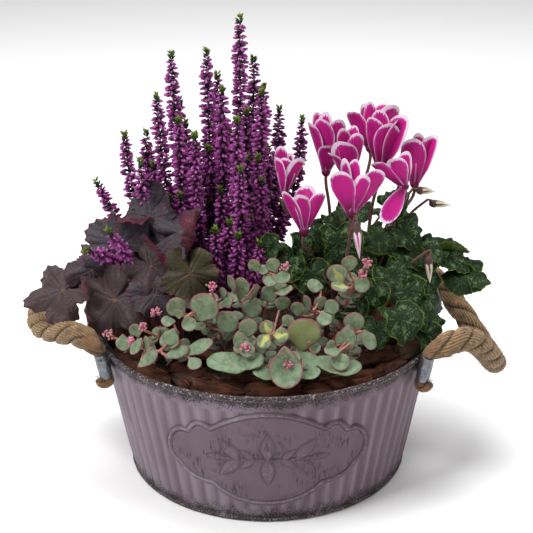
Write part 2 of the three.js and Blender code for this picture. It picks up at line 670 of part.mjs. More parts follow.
// Each leaf: the middle of its blade, its radius, the way its tip points and the way its face looks.
const HEUCHERA_LEAVES = [
  { root: [-88, -18], middle: [-163, -38, 168], radius: 31, tip: [-1, -0.1, -0.3], face: [-0.3, -0.4, 0.8] },
  { root: [-82, -30], middle: [-122, -53, 166], radius: 29, tip: [0.1, -0.3, -0.9], face: [-0.2, -0.9, 0.5] },
  { root: [-84, -7], middle: [-112, -28, 206], radius: 29, tip: [-0.3, 0.2, 0.8], face: [-0.25, -0.75, 0.6] },
  { root: [-74, -16], middle: [-66, -30, 212], radius: 26, tip: [0.9, -0.1, 0.15], face: [0.05, -0.5, 0.85] },
  { root: [-70, -32], middle: [-60, -53, 188], radius: 22, tip: [0.25, -0.3, -0.9], face: [0.1, -0.85, 0.5] },
  { root: [-88, 28], middle: [-134, 38, 172], radius: 28, tip: [-0.8, 0.6, -0.1], face: [-0.3, 0.3, 0.9] },
];

/** A lobed leaf: blunt lobes with a tooth on each shoulder, a notch at the stalk, and a waved face. */
function heucheraBlade(radius) {
  const corners = 20;
  const lobe = [0.68, 0.92, 1, 0.92];
  const edge = (a) => {
    const step = Math.round(a * corners / TAU);
    if (step === 0) return radius * 0.42;
    const reach = Math.abs(step / corners - 0.5) < 0.12 ? 1.08 : 0.95;
    return radius * lobe[step % lobe.length] * reach;
  };
  const lift = (r, a) => -0.0042 * r * r + 0.075 * r * Math.cos(5 * a);
  return blade(corners, edge, lift, HEUCHERA_THICKNESS);
}

/** A stalk to a point: up from its own foot, or forked from the stem that stands there. */
function stalkFrom(foot, end, radius, forked, belly = 0.35) {
  const out = foot[1].clone().lerp(end, belly);
  out.z = mix(foot[1].z, end.z, belly + 0.25);
  const way = smooth([foot[1], out, end], 3).slice(1);
  const radii = [radius * 0.85, radius * 0.7, 0];
  if (forked) return stem([foot[1], ...way], [0, ...radii]);
  return stem([...foot, ...way], [radius, radius, ...radii]);
}

/** A blade set at a point, with a stalk from a foot in the soil to its underside. */
function leafOnStalk(leaf, foot, { middle, radius, tip, face }, bend, forked) {
  const centre = v(...middle).add(bend);
  const seat = centre.clone().addScaledVector(v(...tip).normalize(), -0.3 * radius);
  return [stalkFrom(foot, seat, STALK_RADIUS, forked), place(leaf, centre, v(...tip), v(...face))];
}

function addHeuchera() {
  HEUCHERA_LEAVES.forEach((plan, k) => {
    const foot = rooted(plan.root[0], plan.root[1], STALK_RADIUS);
    const parts = bentClear((bend) => leafOnStalk(heucheraBlade(plan.radius), foot, plan, bend, false));
    settle(`heuchera_leaf_${k + 1}`, fuse(parts), HEUCHERA);
  });
}

// ---------- sedum ----------

const SEDUM_THICKNESS = 2.6;
const SEDUM_STEM = 1.9;

// Each plant: its root and its shoots. A shoot has its way, the turn of its lowest whorl, its whorls as
// [share of the way, leaves, leaf radius], single big leaves as [share, radius, way out, way the face
// looks], and the size of its buds.
const SEDUM_STEMS = [
  { root: [-34, -60], shoots: [
    { way: [[-42, -72, 146], [-54, -88, 170]], turn: 20, whorls: [[0.6, 2, 10], [0.95, 3, 8]],
      single: [[0.8, 12, [0.75, 0, 0.45], [0.1, -0.9, 0.5]]] }] },
  { root: [-10, -72], shoots: [
    { way: [[-16, -92, 140], [-18, -107, 157]], turn: 100, whorls: [[0.66, 3, 9], [0.95, 3, 8]],
      single: [[0.45, 15, [-0.8, -0.4, 0], [-0.1, -0.7, 0.6]]] },
    { way: [[2, -96, 146], [6, -108, 162]], turn: 40, whorls: [[0.95, 4, 7.5]] }] },
  { root: [-8, -52], shoots: [
    { way: [[-16, -60, 150], [-24, -74, 184]], turn: 0, whorls: [[0.45, 3, 9], [0.72, 3, 9], [0.95, 3, 8]] },
    { way: [[0, -54, 160], [8, -62, 193]], turn: 20, whorls: [[0.66, 2, 8], [0.95, 4, 8]] }] },
  { root: [22, -74], shoots: [
    { way: [[28, -92, 138], [32, -104, 152]], turn: 30, whorls: [[0.55, 2, 11], [0.95, 3, 8]],
      single: [[0.8, 13, [0.1, 0, 1], [0.05, -0.95, 0.3]]] },
    { way: [[18, -106, 130], [12, -121, 136]], turn: 0, whorls: [[0.6, 2, 10], [0.95, 3, 9]] }] },
  { root: [50, -54], shoots: [
    { way: [[60, -58, 156], [68, -68, 188]], turn: 0, buds: 4,
      whorls: [[0.5, 2, 9], [0.72, 3, 9.5], [0.92, 4, 8.5]] }] },
  { root: [36, -60], shoots: [
    { way: [[38, -72, 146], [36, -88, 172]], turn: 40,
      whorls: [[0.5, 2, 9], [0.74, 3, 7.5], [0.95, 4, 7]] }] },
  { root: [58, -66], shoots: [
    { way: [[66, -84, 140], [68, -100, 156]], turn: 70,
      whorls: [[0.5, 2, 13], [0.74, 3, 9], [0.95, 3, 8]] }] },
  { root: [-52, -66], shoots: [
    { way: [[-72, -80, 138], [-96, -84, 154]], turn: 20, buds: 4.5,
      whorls: [[0.45, 2, 8], [0.68, 2, 7], [0.88, 2, 5.5]] },
    { way: [[-96, -70, 132], [-122, -72, 142]], turn: 40, buds: 3.6,
      whorls: [[0.7, 2, 6.5], [0.88, 2, 5]] }] },
];

// Half of a leaf's outline in shares of its radius, across and along.
const SEDUM_OUTLINE = [[0.4, 0.45], [0.92, 1.15], [0.5, 1.86]];
const SEDUM_RISE = 0.42;         // how far a leaf is raised, as a share of its reach
const WHORL_TURN = 50;           // degrees from one whorl to the next

/** The outline of a whorl of round leaves about a frame, anticlockwise from the first leaf. */
function whorlRing({ p, e1, e2, way }, count, radius, turn) {
  const slim = count > 3 ? 0.72 : 1;
  const leaf = [...SEDUM_OUTLINE.map(([x, y]) => [-x, y]), ...[...SEDUM_OUTLINE].reverse()];
  return range(count).flatMap((i) => {
    const a = TAU * i / count + turn;
    const out = e1.clone().multiplyScalar(Math.cos(a)).addScaledVector(e2, Math.sin(a));
    const side = way.clone().cross(out);
    return leaf.map(([x, y]) => {
      return p.clone().addScaledVector(side, x * slim * radius).addScaledVector(out, y * radius)
        .addScaledVector(way, SEDUM_RISE * y * radius);
    });
  });
}

/** One shoot as a single skin: the stem, with a ring of leaves drawn out of it at each whorl. */
function sedumShoot(foot, curve, { turn, whorls }, forked) {
  const frames = framesAlong(range(51).map((i) => curve.getPointAt(i / 50)));
  const upright = (p) => ringAt(p, SEDUM_STEM, 3, v(1, 0, 0), v(0, 1, 0), radians(turn));
  const rings = forked ? [[foot[1]]] : foot.map(upright);
  whorls.forEach(([share, count, radius], k) => {
    const frame = frames[Math.round(share * 50)];
    const angle = radians(turn + k * WHORL_TURN);
    const collar = (along) => {
      const centre = frame.p.clone().addScaledVector(frame.way, along);
      return ringAt(centre, SEDUM_STEM * 0.9, 3, frame.e1, frame.e2, angle);
    };
    rings.push(collar(-SEDUM_THICKNESS), whorlRing(frame, count, radius, angle), collar(SEDUM_THICKNESS / 2));
  });
  rings.push([curve.getPointAt(1).addScaledVector(frames.at(-1).way, 3)]);
  return loft(rings);
}

/** One big leaf that grows from a point, along out, with its face towards up. */
function leafFrom(point, out, up, radius) {
  const mirrored = [...SEDUM_OUTLINE].reverse().map(([x, y]) => [-x, y]);
  const rim = [[0, 0], ...SEDUM_OUTLINE, ...mirrored].map(([x, y]) => v(x * radius, y * radius, 0));
  const half = SEDUM_THICKNESS / 2;
  return place(loft([[v(0, radius, -half)], rim, [v(0, radius, half)]], 1), point, out, up);
}

/** A tight cluster of flower buds. */
function budCluster(point, size) {
  const places = [[0, 0, 0.9], [0.9, 0.2, 0.25], [-0.6, 0.7, 0.3], [-0.45, -0.8, 0.4]];
  return places.map(([x, y, z], i) => {
    const bud = new THREE.OctahedronGeometry(size * (1 - 0.07 * i)).rotateX(0.3 * i).rotateZ(0.5 * i);
    return bud.translate(point.x + x * size, point.y + y * size, point.z + z * size);
  });
}

/** The shoot of one plan with its big leaves and buds, moved aside by a bend. */
function sedumParts(foot, plan, bend, forked) {
  const curve = new THREE.CatmullRomCurve3([foot[1], ...plan.way.map((p) => v(...p).add(bend))]);
  const leaves = (plan.single ?? []).map(([share, radius, out, face]) => {
    return leafFrom(curve.getPointAt(share), v(...out), v(...face), radius);
  });
  const buds = plan.buds ? budCluster(curve.getPointAt(1), plan.buds) : [];
  return [sedumShoot(foot, curve, plan, forked), ...leaves, ...buds];
}

function addSedum() {
  SEDUM_STEMS.forEach(({ root, shoots }, k) => {
    const foot = rooted(root[0], root[1], SEDUM_STEM, radians(shoots[0].turn));
    const parts = shoots.flatMap((plan, i) => bentClear((bend) => sedumParts(foot, plan, bend, i > 0)));
    settle(`sedum_stem_${k + 1}`, fuse(parts), SEDUM);
  });
}

// ---------- cyclamen ----------

const PETALS = 5;
const PETAL_KEEL = 1.8;
const PETAL_TWIST = radians(28);   // each petal laps over the next

// Each bloom: its root, the foot of its petals, their length and width, how far they spread, and its turn.
const BLOOMS = [
  { root: [52, 2], base: [17, -6, 237], length: 36, width: 19, spread: 20, turn: 10, lean: [0.05, 0, 1] },
  { root: [50, -12], base: [33, -26, 211], length: 37, width: 17, spread: 27, turn: 50, lean: [-0.05, 0, 1] },
  { root: [64, -20], base: [68, -31, 229], length: 41, width: 21, spread: 34, turn: 20, lean: [0.05, 0, 1] },
  { root: [58, 24], base: [52, 31, 243], length: 48, width: 23, spread: 19, turn: 0, lean: [-0.05, 0.1, 1] },
  { root: [70, 8], base: [70, 10, 246], length: 36, width: 22, spread: 24, turn: 36, lean: [-0.1, -0.15, 1] },
  { root: [80, 20], base: [94, 18, 251], length: 42, width: 24, spread: 27, turn: 5, lean: [0.05, 0, 1] },
  { root: [74, 36], base: [88, 54, 256], length: 41, width: 21, spread: 25, turn: 40, lean: [0, 0.15, 1] },
  { root: [90, 12], base: [124, 18, 236], length: 43, width: 21, spread: 15, turn: 15, lean: [0.15, 0, 1] },
  {
    root: [80, -4], base: [106, -6, 240], length: 30, width: 18, spread: 28, turn: 60, lean: [-0.3, -0.3, 1],
  },
];

/** A petal that rises from a ring and spreads: a keel outside and a sharp edge on each side. */
function petal(length, width, spread) {
  const slope = radians(spread);
  const rows = [[0, 0.12], [0.36, 0.72], [0.7, 1]];
  const rings = rows.map(([t, wide]) => {
    const bend = slope * (0.45 + 0.75 * t);
    const middle = v(3.4 + length * t * Math.sin(bend), 0, length * t * Math.cos(bend));
    const out = v(Math.cos(bend), 0, -Math.sin(bend));
    const half = wide * width / 2;
    const across = v(0, Math.cos(PETAL_TWIST), 0).addScaledVector(out, Math.sin(PETAL_TWIST));
    const through = out.clone().multiplyScalar(Math.cos(PETAL_TWIST)).add(v(0, -Math.sin(PETAL_TWIST), 0));
    const at = (alongOut, sideways) => {
      return middle.clone().addScaledVector(through, alongOut).addScaledVector(across, sideways);
    };
    return [at(PETAL_KEEL * (0.4 + 0.6 * wide), 0), at(-PETAL_KEEL / 3, half), at(-PETAL_KEEL / 3, -half)];
  });
  const bend = slope * 1.2;
  rings.push([v(2.6 + length * Math.sin(bend), 0, length * Math.cos(bend))]);
  return loft(rings);
}

/** The parts of a bloom: its stalk, widened under the petals, and its petals. */
function bloomParts({ base, length, width, spread, turn, lean }, foot, bend) {
  const axis = v(...lean).normalize();
  const centre = v(...base).add(bend);
  const side = v(1, 0, 0).addScaledVector(axis, -axis.x).normalize();
  const frame = new THREE.Matrix4().makeBasis(side, axis.clone().cross(side), axis).setPosition(centre);
  const petals = range(PETALS).map((i) => {
    const turned = petal(length * (i % 2 ? 0.95 : 1), width, spread * (i === 2 ? 1.25 : 1));
    return turned.rotateZ(radians(turn) + TAU * i / PETALS).applyMatrix4(frame);
  });
  const below = centre.clone().addScaledVector(axis, -5);
  const belly = foot[1].clone().lerp(below, 0.5).setZ(mix(foot[1].z, below.z, 0.7));
  const way = smooth([foot[1], belly, below], 3).slice(1);
  const cup = [-1.5, 2].map((along) => centre.clone().addScaledVector(axis, along));
  const stalk = stem([...foot, ...way, ...cup], [2, 2, 1.8, 1.6, 1.5, 5, 6]);
  return [stalk, ...petals];
}

function addBloom(plan, k) {
  const foot = rooted(plan.root[0], plan.root[1], 2);
  settle(`cyclamen_bloom_${k + 1}`, fuse(bentClear((bend) => bloomParts(plan, foot, bend))), PETAL);
}

// Each bud: its root, the crook of its stalk and the way that it points from there.
const BUDS = [
  { root: [88, 22], crook: [124, 14, 232], point: [12, 1, -1], length: 16 },
  { root: [84, 30], crook: [136, 22, 218], point: [14, -1, -1], length: 19 },
  { root: [86, -14], crook: [131, -22, 188], point: [1, -2, -14], length: 22 },
  { root: [58, -34], crook: [70, -48, 228], point: [2, -2, -20], length: 30 },
];

/** A furled bud, thickest near its stalk. */
function budParts({ crook, point, length }, foot, bend) {
  const way = v(...point).normalize();
  const start = v(...crook).add(bend);
  const side = way.clone().cross(v(0.3, 0.9, 0.2)).normalize();
  const at = (along) => start.clone().addScaledVector(way, along);
  const ring = (along, radius) => ringAt(at(along), radius, 5, side, way.clone().cross(side));
  const body = loft([[at(-1.5)], ring(length * 0.22, 3.2), ring(length * 0.6, 2.6), [at(length)]]);
  return [stalkFrom(foot, start, 1.8, false, 0.5), body];
}

const LEAF_THICKNESS = 1.1;

// Each cluster: its root, and its leaves as the middle of the blade, radius, way of the tip, way of the face.
const LEAF_CLUSTERS = [
  { root: [36, -22], leaves: [
    { middle: [58, -27, 203], radius: 20, tip: [0.1, -0.3, -0.8], face: [-0.1, -0.8, 0.6] },
    { middle: [15, -31, 187], radius: 17, tip: [-0.5, -0.3, -0.6], face: [-0.2, -0.7, 0.7] },
    { middle: [28, -18, 198], radius: 11, tip: [-0.2, -0.3, -0.8], face: [0.1, -0.6, 0.8] }] },
  { root: [74, -34], leaves: [
    { middle: [101, -39, 180], radius: 18, tip: [0.4, -0.5, -0.5], face: [0.2, -0.8, 0.6] },
    { middle: [88, -18, 203], radius: 15, tip: [0.2, -0.5, -0.5], face: [0.1, -0.6, 0.8] },
    { middle: [84, -52, 170], radius: 13, tip: [-0.3, -0.5, -0.7], face: [-0.1, -0.8, 0.5] }] },
  { root: [88, -24], leaves: [
    { middle: [103, -73, 156], radius: 19, tip: [0.3, -0.6, -0.6], face: [0.1, -0.7, 0.7] },
    { middle: [128, -50, 153], radius: 18, tip: [0.6, -0.4, -0.7], face: [0.5, -0.6, 0.6] },
    { middle: [110, -10, 190], radius: 19, tip: [0.7, -0.5, -0.4], face: [0.2, -0.5, 0.85] }] },
  { root: [92, 2], leaves: [
    { middle: [134, 26, 200], radius: 19, tip: [0.8, -0.1, -0.3], face: [0.2, -0.3, 0.9] },
    { middle: [155, 14, 184], radius: 19, tip: [0.9, 0.1, -0.15], face: [0.1, -0.35, 0.9] },
    { middle: [166, -4, 161], radius: 21, tip: [0.9, -0.1, -0.25], face: [0.3, -0.3, 0.9] },
    { middle: [147, -18, 152], radius: 15, tip: [0.3, -0.2, -0.9], face: [0.8, -0.4, 0.4] }] },
  { root: [66, 46], leaves: [
    { middle: [104, 62, 196], radius: 20, tip: [0.6, 0.6, -0.3], face: [0.2, 0.3, 0.9] },
    { middle: [66, 84, 184], radius: 20, tip: [0.1, 0.9, -0.4], face: [0, 0.5, 0.85] },
    { middle: [92, 92, 158], radius: 19, tip: [0.4, 0.8, -0.6], face: [0.3, 0.7, 0.6] }] },
  { root: [84, 44], leaves: [
    { middle: [132, 62, 170], radius: 20, tip: [0.8, 0.5, -0.4], face: [0.4, 0.4, 0.8] },
    { middle: [40, 92, 156], radius: 18, tip: [-0.4, 0.8, -0.5], face: [-0.1, 0.7, 0.7] }] },
];

/** A cyclamen leaf: heart-shaped, with a scalloped edge and a crimped face. */
function cyclamenBlade(radius) {
  const corners = 12;
  const edge = (a) => {
    const step = Math.round(a * corners / TAU);
    const notch = step === 0 ? 0.62 : 1;
    const scallop = step % 2 ? 1.04 : 0.92;
    return radius * notch * scallop * (1 - 0.1 * Math.cos(a));
  };
  const lift = (r, a) => -0.0075 * r * r + 0.07 * r * Math.cos(4 * a + 0.6);
  return blade(corners, edge, lift, LEAF_THICKNESS);
}

function addCyclamen() {
  BLOOMS.forEach(addBloom);
  BUDS.forEach((plan, k) => {
    const foot = rooted(plan.root[0], plan.root[1], 1.8);
    settle(`cyclamen_bud_${k + 1}`, fuse(bentClear((bend) => budParts(plan, foot, bend))), BUD);
  });
}

function addCyclamenLeaves() {
  LEAF_CLUSTERS.forEach(({ root, leaves }, k) => {
    const foot = rooted(root[0], root[1], STALK_RADIUS);
    const parts = leaves.flatMap((plan, i) => bentClear((bend) => {
      return leafOnStalk(cyclamenBlade(plan.radius), foot, plan, bend, i > 0);
    }));
    settle(`cyclamen_leaves_${k + 1}`, fuse(parts), LEAF);
  });
}

// ---------- assembly ----------

addTub();
addSleeves();
addRope('right');
addRope('left');
addCyclamen();
addHeather();
addHeuchera();
addSedum();
addCyclamenLeaves();
addLiner();
addSoil();
addMulch();

export default group;
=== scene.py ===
"""A mixed flower planter: a worn mauve metal tub with rope handles, heather, heuchera, sedum, cyclamen.

Shapes are worked out in millimetres and put into the meshes in metres, in the frame of the CAD model:
Z is up, the front is -Y, and the origin is on the tub's axis in the plane that it stands on.
"""

from __future__ import annotations

import logging
import math
from dataclasses import dataclass, field
from enum import Enum
from typing import Iterable, Sequence

import bpy
import numpy as np
from mathutils import Matrix, Vector

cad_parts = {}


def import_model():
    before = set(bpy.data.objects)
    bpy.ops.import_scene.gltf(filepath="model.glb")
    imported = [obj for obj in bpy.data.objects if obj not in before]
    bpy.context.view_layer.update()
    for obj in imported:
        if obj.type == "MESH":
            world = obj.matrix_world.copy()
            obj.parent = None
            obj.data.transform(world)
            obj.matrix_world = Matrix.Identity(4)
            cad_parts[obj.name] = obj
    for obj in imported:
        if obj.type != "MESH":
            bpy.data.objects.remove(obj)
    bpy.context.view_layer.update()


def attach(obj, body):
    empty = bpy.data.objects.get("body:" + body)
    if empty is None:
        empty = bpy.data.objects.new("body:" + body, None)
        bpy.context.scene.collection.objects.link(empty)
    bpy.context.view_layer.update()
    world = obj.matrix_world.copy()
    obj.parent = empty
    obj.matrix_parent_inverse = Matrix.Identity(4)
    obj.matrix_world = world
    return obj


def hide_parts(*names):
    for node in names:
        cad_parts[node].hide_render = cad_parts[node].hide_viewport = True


LOG = logging.getLogger("planter")
MM = 0.001
TAU = 2 * math.pi

Array = np.ndarray
Point = Sequence[float]
Tint = tuple[float, float, float]
Material = bpy.types.Material
Socket = bpy.types.NodeSocket


# ---------- arithmetic on whole arrays ----------

def smoothstep(low: float, high: float, x: Array) -> Array:
    """A soft step from 0 at low to 1 at high: three times the square of the share less twice its cube."""
    share = np.clip((np.asarray(x, float) - low) / (high - low), 0, 1)
    return share * share * (3 - 2 * share)


def bell(x: Array, middle: float, width: float) -> Array:
    """A smooth hump of height 1: e to minus the square of the distance from the middle over the width."""
    return np.exp(-(((np.asarray(x, float) - middle) / width) ** 2))


def unit(vectors: Array) -> Array:
    """Vectors divided by their lengths."""
    return vectors / np.maximum(np.linalg.norm(vectors, axis=-1, keepdims=True), 1e-12)


def waves(points: Array, pitch: float, seed: int, count: int = 7) -> Array:
    """Smooth noise of about -1 to 1: a sum of sines along seeded directions, each a pitch or so long."""
    random = np.random.default_rng(seed)
    ways = unit(random.normal(size=(points.shape[-1], count)).T).T
    pace = TAU / pitch * random.uniform(0.6, 1.5, count)
    return np.sin(points @ (ways * pace) + random.uniform(0, TAU, count)).sum(-1) / math.sqrt(count)


def squared(x: Array, power: float) -> Array:
    """A sine or cosine squared off: its size to a power below 1, with its own sign."""
    return np.sign(x) * np.abs(x) ** power


def ring(radius: Array | float, phi: Array, level: Array | float) -> Array:
    """The points at a radius and the angles phi about the tub's axis, at a level."""
    return np.stack(np.broadcast_arrays(radius * np.cos(phi), radius * np.sin(phi), level), axis=-1)


def polar(radius: float, degrees: float, z: float) -> Array:
    """The point at a radius and an angle about the tub's axis, at a level."""
    angle = math.radians(degrees)
    return np.array([radius * math.cos(angle), radius * math.sin(angle), z])


def spaced(points: Array, count: int) -> Array:
    """Points at even steps along a chain of points, found by its running length."""
    lengths = np.r_[0, np.cumsum(np.linalg.norm(np.diff(points, axis=0), axis=1))]
    steps = np.linspace(0, lengths[-1], count)
    return np.stack([np.interp(steps, lengths, points[:, k]) for k in range(3)], axis=1)


def spline(points: Iterable[Point], count: int) -> Array:
    """Even points on a smooth curve: on each stretch the cubic whose end slopes are half the chord
    between the neighbours on both sides."""
    given = np.array([np.asarray(p, float) for p in points])
    knots = np.vstack([2 * given[0] - given[1], given, 2 * given[-1] - given[-2]])
    t = np.linspace(0, len(given) - 1, 40 * len(given))
    k = np.minimum(t.astype(int), len(given) - 2)
    f = (t - k)[:, None]
    a, b, c, d = knots[k], knots[k + 1], knots[k + 2], knots[k + 3]
    curve = (0.5 * (2 * b + (c - a) * f + (2 * a - 5 * b + 4 * c - d) * f**2
                    + (3 * b - a - 3 * c + d) * f**3))
    return spaced(curve, count)


def frames(path: Array, reference: Point = (1.0, 0.0, 0.0)) -> tuple[Array, Array, Array]:
    """Untwisted frames along a path.

    The side is the reference less its share along the way. The turn of each side about the way since
    the one before is summed up and taken off, so that what is carried along doesn't spin.

    Args:
        path: the points, one row each.
        reference: a direction that is nowhere along the path.

    Returns:
        The way, the side and the third direction at each point.
    """
    way = unit(np.gradient(path, axis=0))
    ref = np.asarray(reference, float)
    side = unit(ref - (way @ ref)[:, None] * way)
    third = np.cross(way, side)
    carried = unit(side[:-1] - (side[:-1] * way[1:]).sum(1, keepdims=True) * way[1:])
    turn = np.arctan2((carried * third[1:]).sum(1), (carried * side[1:]).sum(1))
    spin = np.r_[0, np.cumsum(turn)][:, None]
    return way, np.cos(spin) * side + np.sin(spin) * third, np.cos(spin) * third - np.sin(spin) * side


def bases(forward: Array, up: Array) -> Array:
    """Frames whose y looks along forward and whose z leans towards up, as rows x, y and z."""
    y = unit(np.asarray(forward, float))
    x = unit(np.cross(y, np.asarray(up, float)))
    return np.stack([x, y, np.cross(x, y)], axis=-2)


# ---------- surfaces ----------

@dataclass
class Surface:
    """Points in millimetres, faces of four corners (a fourth of -1 makes a triangle), the number of
    each face's finish, and named values at the points for the finishes to read."""

    points: Array
    faces: Array
    paint: Array
    values: dict[str, Array] = field(default_factory=dict)

    @classmethod
    def grid(cls, points: Array, wrap: bool = False, paint: int = 0, **values: Array) -> "Surface":
        """A sheet over a grid of points.

        Corner (i, j) joins (i, j + 1), (i + 1, j + 1) and (i + 1, j).

        Args:
            points: rows by columns by three.
            wrap: whether the last column joins the first.
            paint: the finish of its faces.
            **values: named values on the grid, or a number for all.

        Returns:
            The sheet as a surface.
        """
        rows, cols = points.shape[:2]
        i = np.arange(rows - 1)[:, None] * cols
        j = np.arange(cols if wrap else cols - 1)[None, :]
        k = (j + 1) % cols
        faces = np.stack([i + j, i + k, i + cols + k, i + cols + j], axis=-1).reshape(-1, 4)
        flat = {name: np.broadcast_to(value, (rows, cols)).astype(float).ravel()
                for name, value in values.items()}
        return cls(points.reshape(-1, 3), faces, np.full(len(faces), paint), flat)

    @classmethod
    def joined(cls, parts: Sequence["Surface"]) -> "Surface":
        """Several surfaces as one; a value that a part doesn't have is 0 there."""
        starts = np.cumsum([0] + [len(part.points) for part in parts])
        faces = [np.where(part.faces < 0, -1, part.faces + start) for part, start in zip(parts, starts)]
        names = dict.fromkeys(name for part in parts for name in part.values)
        values = {n: np.concatenate([p.values.get(n, np.zeros(len(p.points))) for p in parts])
                  for n in names}
        points = np.concatenate([part.points for part in parts])
        return cls(points, np.concatenate(faces), np.concatenate([part.paint for part in parts]), values)

    def welded(self) -> "Surface":
        """The surface with its equal points made one, and the corners and faces that this closes left out."""
        _, first, back = np.unique(np.round(self.points, 4), axis=0, return_index=True, return_inverse=True)
        faces = np.where(self.faces < 0, -1, back.ravel()[self.faces])
        triangle = faces[:, 3] < 0
        faces[triangle, 3] = faces[triangle, 0]
        same = faces == np.roll(faces, -1, axis=1)
        keep = same.sum(1) <= 1
        faces, same, paint = faces[keep], same[keep], self.paint[keep]
        short = same.any(1)
        turned = (np.arange(4)[None, :] + same.argmax(1)[:, None] + 1) % 4
        rolled = np.take_along_axis(faces, turned, axis=1)
        rolled[:, 3] = -1
        faces = np.where(short[:, None], rolled, faces)
        return Surface(self.points[first], faces, paint, {n: v[first] for n, v in self.values.items()})

    def placed(self, origin: Point, basis: Array, **values: float) -> "Surface":
        """The surface turned by the rows of a basis and moved to an origin, with more values."""
        more = {name: np.full(len(self.points), float(value)) for name, value in values.items()}
        return Surface(self.points @ basis + np.asarray(origin, float), self.faces, self.paint,
                       {**self.values, **more})

    def scattered(self, origins: Array, turns: Array, **values: Array) -> "Surface":
        """Copies of the surface: each point is an origin plus the template's point times a basis.

        Args:
            origins: the place of each copy.
            turns: the basis of each copy, its rows scaled by its size.
            **values: a value for each copy.

        Returns:
            All copies as one surface.
        """
        count, size = len(origins), len(self.points)
        points = (np.einsum("pj,kji->kpi", self.points, turns) + origins[:, None, :]).reshape(-1, 3)
        shift = (np.arange(count) * size)[:, None, None]
        faces = np.where(self.faces[None] < 0, -1, self.faces[None] + shift).reshape(-1, 4)
        own = {name: np.tile(value, count) for name, value in self.values.items()}
        given = {name: np.repeat(value, size) for name, value in values.items()}
        return Surface(points, faces, np.tile(self.paint, count), {**own, **given})

    def build(self, name: str, finishes: Sequence[Material], slot: str, node: str = "") -> bpy.types.Object:
        """Makes the mesh object, smooth shaded, which rides on the root body.

        Args:
            name: the piece's name.
            finishes: its materials in the order that paint counts them.
            slot: a material slot's name; not used.
            node: the node that it replaces, if any.

        Returns:
            The object at the origin.
        """
        mesh = bpy.data.meshes.new(name)
        sizes = np.where(self.faces[:, 3] < 0, 3, 4)
        corners = self.faces[self.faces >= 0].astype(np.int32)
        mesh.vertices.add(len(self.points))
        mesh.vertices.foreach_set("co", (self.points * MM).astype(np.float32).ravel())
        mesh.loops.add(len(corners))
        mesh.loops.foreach_set("vertex_index", corners)
        mesh.polygons.add(len(sizes))
        mesh.polygons.foreach_set("loop_start", np.r_[0, np.cumsum(sizes)[:-1]].astype(np.int32))
        mesh.polygons.foreach_set("material_index", self.paint.astype(np.int32))
        mesh.polygons.foreach_set("use_smooth", np.ones(len(sizes), bool))
        for key, value in self.values.items():
            mesh.attributes.new(key, "FLOAT", "POINT").data.foreach_set("value", value.astype(np.float32))
        mesh.update(calc_edges=True)
        mesh.validate()
        for finish in finishes:
            mesh.materials.append(finish)
        piece = bpy.data.objects.new(name, mesh)
        bpy.context.scene.collection.objects.link(piece)
        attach(piece, "root")
        if node:
            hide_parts(node)
        LOG.info("%s: %d points, %d faces", name, len(self.points), len(sizes))
        return piece


def tube(path: Array, radius: Array | float, sides: int = 8, reference: Point = (1.0, 0.0, 0.0),
         paint: int = 0, **values: Array) -> Surface:
    """A closed tube with a pole at each end.

    A point is the path's point plus the radius times the side and the third direction, by the cosine
    and the sine of its angle.

    Args:
        path: the ring centres.
        radius: one number, one a ring, or one for each ring and side.
        sides: how many points a ring has.
        reference: a direction that is nowhere along the path.
        paint: the finish of its faces.
        **values: values for each ring, or for each ring and side.

    Returns:
        The tube, which faces outward.
    """
    _, side, third = frames(path, reference)
    angle = TAU * np.arange(sides) / sides
    reach = np.broadcast_to(np.asarray(radius, float).reshape(-1, 1) if np.ndim(radius) == 1 else radius,
                            (len(path), sides))[..., None]
    rings = (path[:, None] + reach
             * (side[:, None] * np.cos(angle)[:, None] + third[:, None] * np.sin(angle)[:, None]))
    poles = [np.repeat(end[None, None], sides, axis=1) for end in (path[0], path[-1])]
    rows = np.concatenate([poles[0], rings, poles[1]])
    more = {}
    for name, value in values.items():
        full = np.broadcast_to(np.asarray(value, float).reshape(len(path), -1), (len(path), sides))
        more[name] = np.concatenate([full[:1], full, full[-1:]])
    return Surface.grid(rows, wrap=True, paint=paint, **more).welded()


class Blade:
    """A thin leaf about its middle: y towards the tip, z out of the face, closed at its edge."""

    def __init__(self, edge: Array, rows: int, thickness: float) -> None:
        """Lays the grid out: rings that are shares of the edge, under the leaf and then over it.

        Args:
            edge: the edge, anticlockwise from the tip: its reach at even angles, or its points.
            rows: how many rings each face has.
            thickness: at the middle; at the edge it falls by the root of one less the share's fourth power.
        """
        share = np.sin(np.linspace(0, math.pi / 2, rows + 1)) ** 1.1
        self.rho = np.r_[share, share[-2::-1]][:, None]
        self.side = np.r_[-np.ones(rows), 0, np.ones(rows)][:, None]
        if edge.ndim == 1:
            even = TAU * np.arange(len(edge)) / len(edge)
            edge = edge[:, None] * np.stack([-np.sin(even), np.cos(even)], axis=1)
        self.theta = (np.arctan2(-edge[:, 0], edge[:, 1]) % TAU)[None, :]
        self.x = self.rho * edge[:, 0]
        self.y = self.rho * edge[:, 1]
        self.wall = self.side * thickness / 2 * np.sqrt(np.maximum(1 - self.rho**4, 0))
        self.rows = rows

    def surface(self, lift: Array, **values: Array) -> Surface:
        """The leaf with its face at a lift above the plane.

        The values u and v are the place on the flat leaf, rim is the share of the way to the edge.
        Faces of the underside have paint 1, those of the face 0.
        """
        points = np.stack([self.x, self.y, lift + self.wall], axis=-1)
        rim = np.broadcast_to(self.rho, self.x.shape)
        leaf = Surface.grid(points, wrap=True, u=self.x, v=self.y, rim=rim, **values)
        leaf.paint = (np.arange(len(leaf.faces)) // self.x.shape[1] < self.rows).astype(int)
        return leaf.welded()


